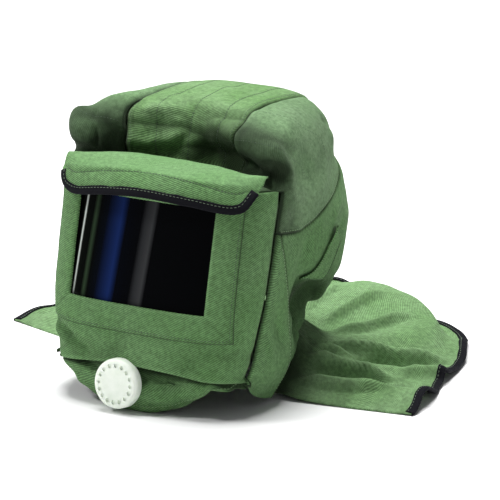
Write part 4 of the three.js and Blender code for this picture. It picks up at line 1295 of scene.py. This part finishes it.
def valve_piece(name, profile, closed, node):
    made = lathe(name, profile, closed)
    tidy_mesh(made)
    if name == "valve_cap":
        drill(made)
    made.data.transform(valve_place)
    made.data.materials.clear()
    made.data.materials.append(valve_finish)
    made.data.polygons.foreach_set("use_smooth", [True] * len(made.data.polygons))
    made.data.set_sharp_from_angle(angle=VALVE_SHARP)
    bevel = made.modifiers.new("edges", "BEVEL")
    bevel.width, bevel.segments, bevel.limit_method, bevel.angle_limit = VALVE_BEVEL, 2, "ANGLE", VALVE_SHARP
    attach(made, "root")
    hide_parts(node)


valve_piece("valve_cap", CAP_PROFILE, False, "exhaust_valve_cap")
valve_piece("valve_seat", SEAT_PROFILE, True, "exhaust_valve_seat")

# Flap over the window, with rounded lower corners
FLAP_CLOTH, FLAP_FOLD, FLAP_STITCH = 1.8, 0.36, 24.5
FLAP_CORNER_U, FLAP_CORNER_V = 0.075, 0.36
FLAP_ROWS = [
    [(-0.856, 0.115, 0.731), (-0.672, 0.075, 0.712), (-0.36, 0.053, 0.731), (0.0, 0.048, 0.743),
     (0.416, 0.067, 0.731), (0.784, 0.100, 0.717), (0.904, 0.122, 0.738)],
    [(-0.848, 0.140, 0.790), (-0.680, 0.107, 0.797), (-0.36, 0.100, 0.810), (0.0, 0.097, 0.814),
     (0.400, 0.103, 0.807), (0.784, 0.133, 0.800), (0.944, 0.180, 0.810)],
    [(-0.848, 0.167, 0.824), (-0.672, 0.187, 0.828), (-0.44, 0.253, 0.824), (0.0, 0.290, 0.817),
     (0.440, 0.253, 0.821), (0.760, 0.200, 0.824), (0.936, 0.210, 0.828)],
]
flap_rows = [curve(*(in_hood(*spot) for spot in row)) for row in FLAP_ROWS]


def flap_surface(u, v):
    """The flap from its free edge up to its stitched fold and back under the brow."""
    free, fold, back = (row(u) for row in flap_rows)
    low = free + (fold - free) * (v / FLAP_FOLD)[..., None]
    high = fold + (back - fold) * ((v - FLAP_FOLD) / (1 - FLAP_FOLD))[..., None]
    turn = smooth((v - FLAP_FOLD + 0.05) / 0.10)[..., None]
    sag = point(0.0, -1.6 * np.sin(np.clip(v / FLAP_FOLD, 0, 1) * math.pi), 0.0)
    rise = point(0.0, 0.0, 2.6 * np.sin(np.clip((v - FLAP_FOLD) / (1 - FLAP_FOLD), 0, 1) * math.pi))
    waves = 0.9 * ripple(u * 210, 26, 101) + 0.4 * ripple(u * 210, 11, 102)
    waves = point(0.0, 0.5, 1.0) * waves[..., None]
    return low * (1 - turn) + high * turn + sag + rise + waves * smooth(v / 0.2)[..., None]


def flap_round(u, v):
    """Grid shares drawn in at the two lower corners."""
    near = np.clip((FLAP_CORNER_V - v) / FLAP_CORNER_V, 0, 1)
    draw = FLAP_CORNER_U * (1 - np.sqrt(1 - near ** 2))
    return draw + (1 - 2 * draw) * u


flap_v = np.concatenate([np.linspace(0, FLAP_FOLD, 22), np.linspace(FLAP_FOLD, 1, 24)[1:]])
flap = Panel("lens_flap_cloth", lambda u, v: flap_surface(flap_round(u, v), v), 130, flap_v,
             centre=np.array([0.0, 80.0, 190.0]))
from_fold = flap.foot - FLAP_STITCH
flap.lift(0.35 * noise(flap.points, 17, 103) - 0.5 * bell(from_fold, 1.1)
          + 0.25 * ripple(flap.along_u, 8, 104) * np.exp(-np.abs(from_fold) / 5))
# Painted shade in the stitch groove, and painted light on the flap above the stitches
flap.shade = -0.25 * bell(from_fold, 0.9) + 0.10 * smooth((from_fold - 1.5) / 6)
flap_object = cloth_object(flap, face_canvas, cloth=FLAP_CLOTH)
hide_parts("lens_flap")
dark.sew(flap, flap.inset("foot", FLAP_STITCH, 0.07, 0.90, 500))


def edge_run(panel, where, thickness, step):
    """Points, outward and normal directions along an edge given as grid shares, at mid-thickness."""
    points, normals = panel.sample(*where)
    points = points - normals * thickness / 2
    lengths = run_lengths(points)
    even = np.linspace(0, lengths[-1], max(8, int(lengths[-1] / step)))
    points = read_along(even, lengths, points)
    normals = unit(read_along(even, lengths, normals))
    for _ in range(3):
        normals[1:-1] = unit(normals[:-2] + 2 * normals[1:-1] + normals[2:])
    way = unit(np.gradient(points, axis=0))
    outward = unit(np.cross(way, normals))
    middle = panel.points.reshape(-1, 3).mean(axis=0)
    if np.sum(outward * (points - middle)) < 0:
        outward = -outward
    return points, outward, normals


def taped(name, panel, edge, cloth, step, node, seed, **stitch):
    """A tape round an edge of a panel, with a stitch line on its outer face."""
    run, outward, up = edge_run(panel, edge, cloth, step)
    made = binding(name, run, outward, up, tape_finish, cloth, seed)
    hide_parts(node)
    tape_top = cloth / 2 + TAPE_SLACK + TAPE_CLOTH - 0.1
    tape_stitches.run(run - outward * STITCH_IN + up * tape_top, up, **stitch)
    return made


STITCH_IN, TAPE_START = 4.9, 0.22
side_v = np.linspace(TAPE_START, 0.0, 120)
flap_edge = (np.concatenate([np.zeros(120), np.linspace(0, 1, 400), np.ones(120)]),
             np.concatenate([side_v, np.zeros(400), side_v[::-1]]))
flap_tape = taped("flap_tape", flap, flap_edge, FLAP_CLOTH, 1.6, "flap_binding", 111, radius=0.30, pitch=4.0)

# Cape: from under the hood's hem out to a bound edge. Angles run from +X to +Y in degrees. A row of the
# edge holds the angle, and the reach, the lift and the crest there as shares of CAPE_REACH
CAPE_FROM, CAPE_TO = -5.0, 169.0
CAPE_EDGE = [
    (-5, 0.81, 0.0, 0.0),
    (20, 0.77, 0.01, 0.0),
    (36, 0.83, 0.02, 0.0),
    (50, 0.91, 0.01, 0.05),
    (58, 0.96, 0.0, 0.10),
    (68, 1.00, 0.0, 0.13),
    (80, 1.00, 0.0, 0.14),
    (87, 1.00, 0.02, 0.12),
    (95, 1.00, 0.09, 0.08),
    (108, 0.98, 0.05, 0.08),
    (125, 0.96, 0.02, 0.06),
    (150, 0.96, 0.0, 0.02),
    (162, 0.98, 0.015, 0.02),
    (169, 0.94, 0.0, 0.0),
]
edge_angle, edge_reach, edge_lift, edge_crest = np.array(CAPE_EDGE).T
CREST_AT, CREST_INSIDE, CREST_OUTSIDE = 0.8, 0.36, 0.07
# Waves: the angle and its spread, the share of the way out and its spread, and the height as a share
CAPE_WAVES = [
    (4, 6, 0.9, 0.6, 0.05),
    (26, 6, 0.6, 0.4, 0.045),
    (48, 7, 0.6, 0.4, 0.05),
    (92, 30, 0.5, 0.25, 0.04),
    (152, 8, 0.7, 0.4, 0.04),
]
# Creases seen from above, in millimetres: start, end, width, height, and the lean to a sharper side
CAPE_CREASES = [
    ((100, 150), (180, 216), 7.2, 20, -0.7),
    ((112, 150), (176, 204), 4, -7.5, 0.0),
    ((90, 196), (196, 306), 8, 20, -0.65),
    ((104, 196), (186, 286), 4, -6.25, 0.0),
    ((104, 128), (214, 158), 6.4, 13.75, -0.6),
    ((96, 172), (150, 262), 6.4, 10, -0.5),
    ((70, 250), (128, 352), 10.4, 12.5, -0.6),
    ((44, 280), (70, 386), 9.6, 10, -0.5),
    ((10, 300), (14, 390), 8, 7.5, -0.4),
    ((170, 224), (236, 250), 9.6, 10, -0.5),
    ((-100, 190), (-232, 206), 8, 10, 0.4),
    ((-70, 240), (-170, 330), 11.2, 10, -0.4),
    ((-40, 270), (-80, 380), 11.2, 8.75, 0.4),
]
RIM_SHARES, RIM_ALONG = [0.0, 0.10, 0.36, 0.75, 1.0], [0.08, 0.45, 1.0, 2.0, 2.62]
RIM_DROP, RIM_FALL = 3.4, 3.6
CAPE_CLOTH = 1.5
CAPE_FLOOR = TAPE_CLOTH + 0.3


def rounded(column, angle, spread=3.0):
    """A column of the edge's rows read at angles, with its corners rounded over a spread."""
    steps = np.linspace(-1.5, 1.5, 13)
    weights = bell(steps, 1.0)
    values = sum(w * np.interp(angle + s * spread, edge_angle, column) for s, w in zip(steps, weights))
    return values / weights.sum()


def hem_point(along):
    along = np.asarray(along, float)
    middle = point((3 - 2 * along) * NAPE_HALF, NAPE_Y, NAPE_Z)
    near, far = neck_line(np.clip(along, 0, 1)), mirrored(neck_line)(np.clip(3 - along, 0, 1))
    return np.where((along < 1)[..., None], near, np.where((along > 2)[..., None], far, middle))


def cape_creases(p):
    """The height of the creases at points of the cape."""
    total = 0.0
    for start, end, width, height, lean in CAPE_CREASES:
        start, way = np.array(start, float), np.array(end, float) - np.array(start, float)
        length = np.linalg.norm(way)
        way = way / length
        offset = p[..., :2] - start
        along = (offset @ way) / length
        off = offset @ np.array([-way[1], way[0]])
        side_width = width * np.where(off * lean > 0, 1 - abs(lean), 1.0)
        total = total + height * smooth(along / 0.3) * smooth((1 - along) / FADE) * bell(off, side_width)
    return total


def cape_surface(u, v):
    angle = CAPE_FROM + (CAPE_TO - CAPE_FROM) * u
    turn = np.radians(angle)
    reach = (rounded(edge_reach, angle) * CAPE_REACH
             + 3.0 * ripple(angle, 9, 121) + 1.6 * ripple(angle, 4, 122))
    rim = on_body(hem_point(np.interp(u, RIM_SHARES, RIM_ALONG)))
    edge = point(np.cos(turn) * reach, CAPE_CENTRE + np.sin(turn) * reach, 0.0)
    p = rim + (edge - rim) * v[..., None] - unit(rim - CENTRE) * (NECK_TUCK * bell(v, 0.07))[..., None]
    waves = sum(height * bell(angle - wave_angle, spread) * bell(v - at, length)
                for wave_angle, spread, at, length, height in CAPE_WAVES)
    past_crest = (v - CREST_AT) / np.where(v < CREST_AT, CREST_INSIDE, CREST_OUTSIDE)
    crest = rounded(edge_crest, angle) * bell(past_crest, 1.0)
    lift = rounded(edge_lift, angle) * smooth((v - 0.7) / 0.3)
    start = rim[..., 2] - RIM_DROP
    raised = (waves + crest + lift) * CAPE_REACH * smooth(v / FADE)
    fall = start * np.clip(1 - v, 0, 1) ** RIM_FALL
    flat = np.maximum(0.0, fall + raised - 2) + cape_creases(p)
    gather = 4.6 * ripple(u * 400, 13, 123) + 2.6 * ripple(u * 400, 7, 124)
    gather = gather * np.exp(-v / 0.22) * smooth(v / 0.03)
    from_above = p * np.array([1, 1, 0])
    drape = (3.2 * noise(from_above, 48, 125) + 1.3 * noise(from_above, 20, 126)) * smooth(v / 0.2)
    flat = np.maximum(0.0, flat + gather + drape * smooth((flat + 2) / 6))
    p[..., 2] = start + (flat - start) * smooth(v / 0.1) + CAPE_FLOOR * smooth((v - 0.84) / 0.1)
    return p


cape = Panel("cape_cloth", cape_surface, 330, 150, centre=None)
cape.points[..., 2] += CAPE_CLOTH
# Painted shade along the cape's rim, under the body of the hood
cape.shade = -1.1 * bell(cape.v, 0.13) * (1 + 0.35 * ripple(cape.u * 400, 9, 127))
cape_object = cloth_object(cape, cape_canvas, cloth=CAPE_CLOTH)
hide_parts("cape")
cape_edge = (np.linspace(0, 1, 1200), np.ones(1200))
cape_tape = taped("cape_tape", cape, cape_edge, CAPE_CLOTH, 1.8, "cape_binding", 131, radius=0.32, pitch=4.2)

# Threads
dark_object = dark.make("stitches_dark", dark_thread, "canvas")
pale_object = pale.make("stitches_pale", pale_thread, "canvas")
tape_object = tape_stitches.make("stitches_on_tape", tape_thread, "binding_tape")

# Every cloth piece's width and length, worked out and left unused
declare(crown_object, crown)
declare(face_object, face)
declare(band_object, band)
declare(chin_object, chin)
declare(flap_object, flap)
declare(cape_object, cape)
for made, panel in side_pieces:
    declare(made, panel)

# Floor and lights, in metres
FLOOR_HALF = 6.0
LIGHT_AIM = Vector((0.0, -0.05, 0.12))


def area_light(name, location, size, power):
    """A square area light aimed at the hood."""
    data = bpy.data.lights.new(name, "AREA")
    data.size, data.energy = size, power
    made = add_object(name, data)
    made.location = location
    made.rotation_euler = (Vector(location) - LIGHT_AIM).to_track_quat("Z", "Y").to_euler()


floor_mesh = bpy.data.meshes.new("floor")
floor_corners = ((-1, -1), (1, -1), (1, 1), (-1, 1))
floor_mesh.from_pydata([(x * FLOOR_HALF, y * FLOOR_HALF, 0.0) for x, y in floor_corners], [], [(0, 1, 2, 3)])
floor_mesh.materials.append(Nodes("floor").set(Base_Color=(0.86, 0.86, 0.86), Roughness=0.9))
add_object("floor", floor_mesh)

area_light("top", (-0.2, 0.4, 2.5), 1.5, 132.0)
area_light("key", (-1.3, -1.1, 1.8), 0.5, 24.0)
area_light("fill", (1.9, -1.9, 1.0), 1.4, 3.0)

bpy.context.scene.view_settings.view_transform = "Standard"
world = bpy.data.worlds.new("studio")
bpy.context.scene.world = world
world.use_nodes = True
background = world.node_tree.nodes["Background"]
background.inputs["Color"].default_value = (0.95, 0.97, 1.0, 1.0)
background.inputs["Strength"].default_value = 0.16
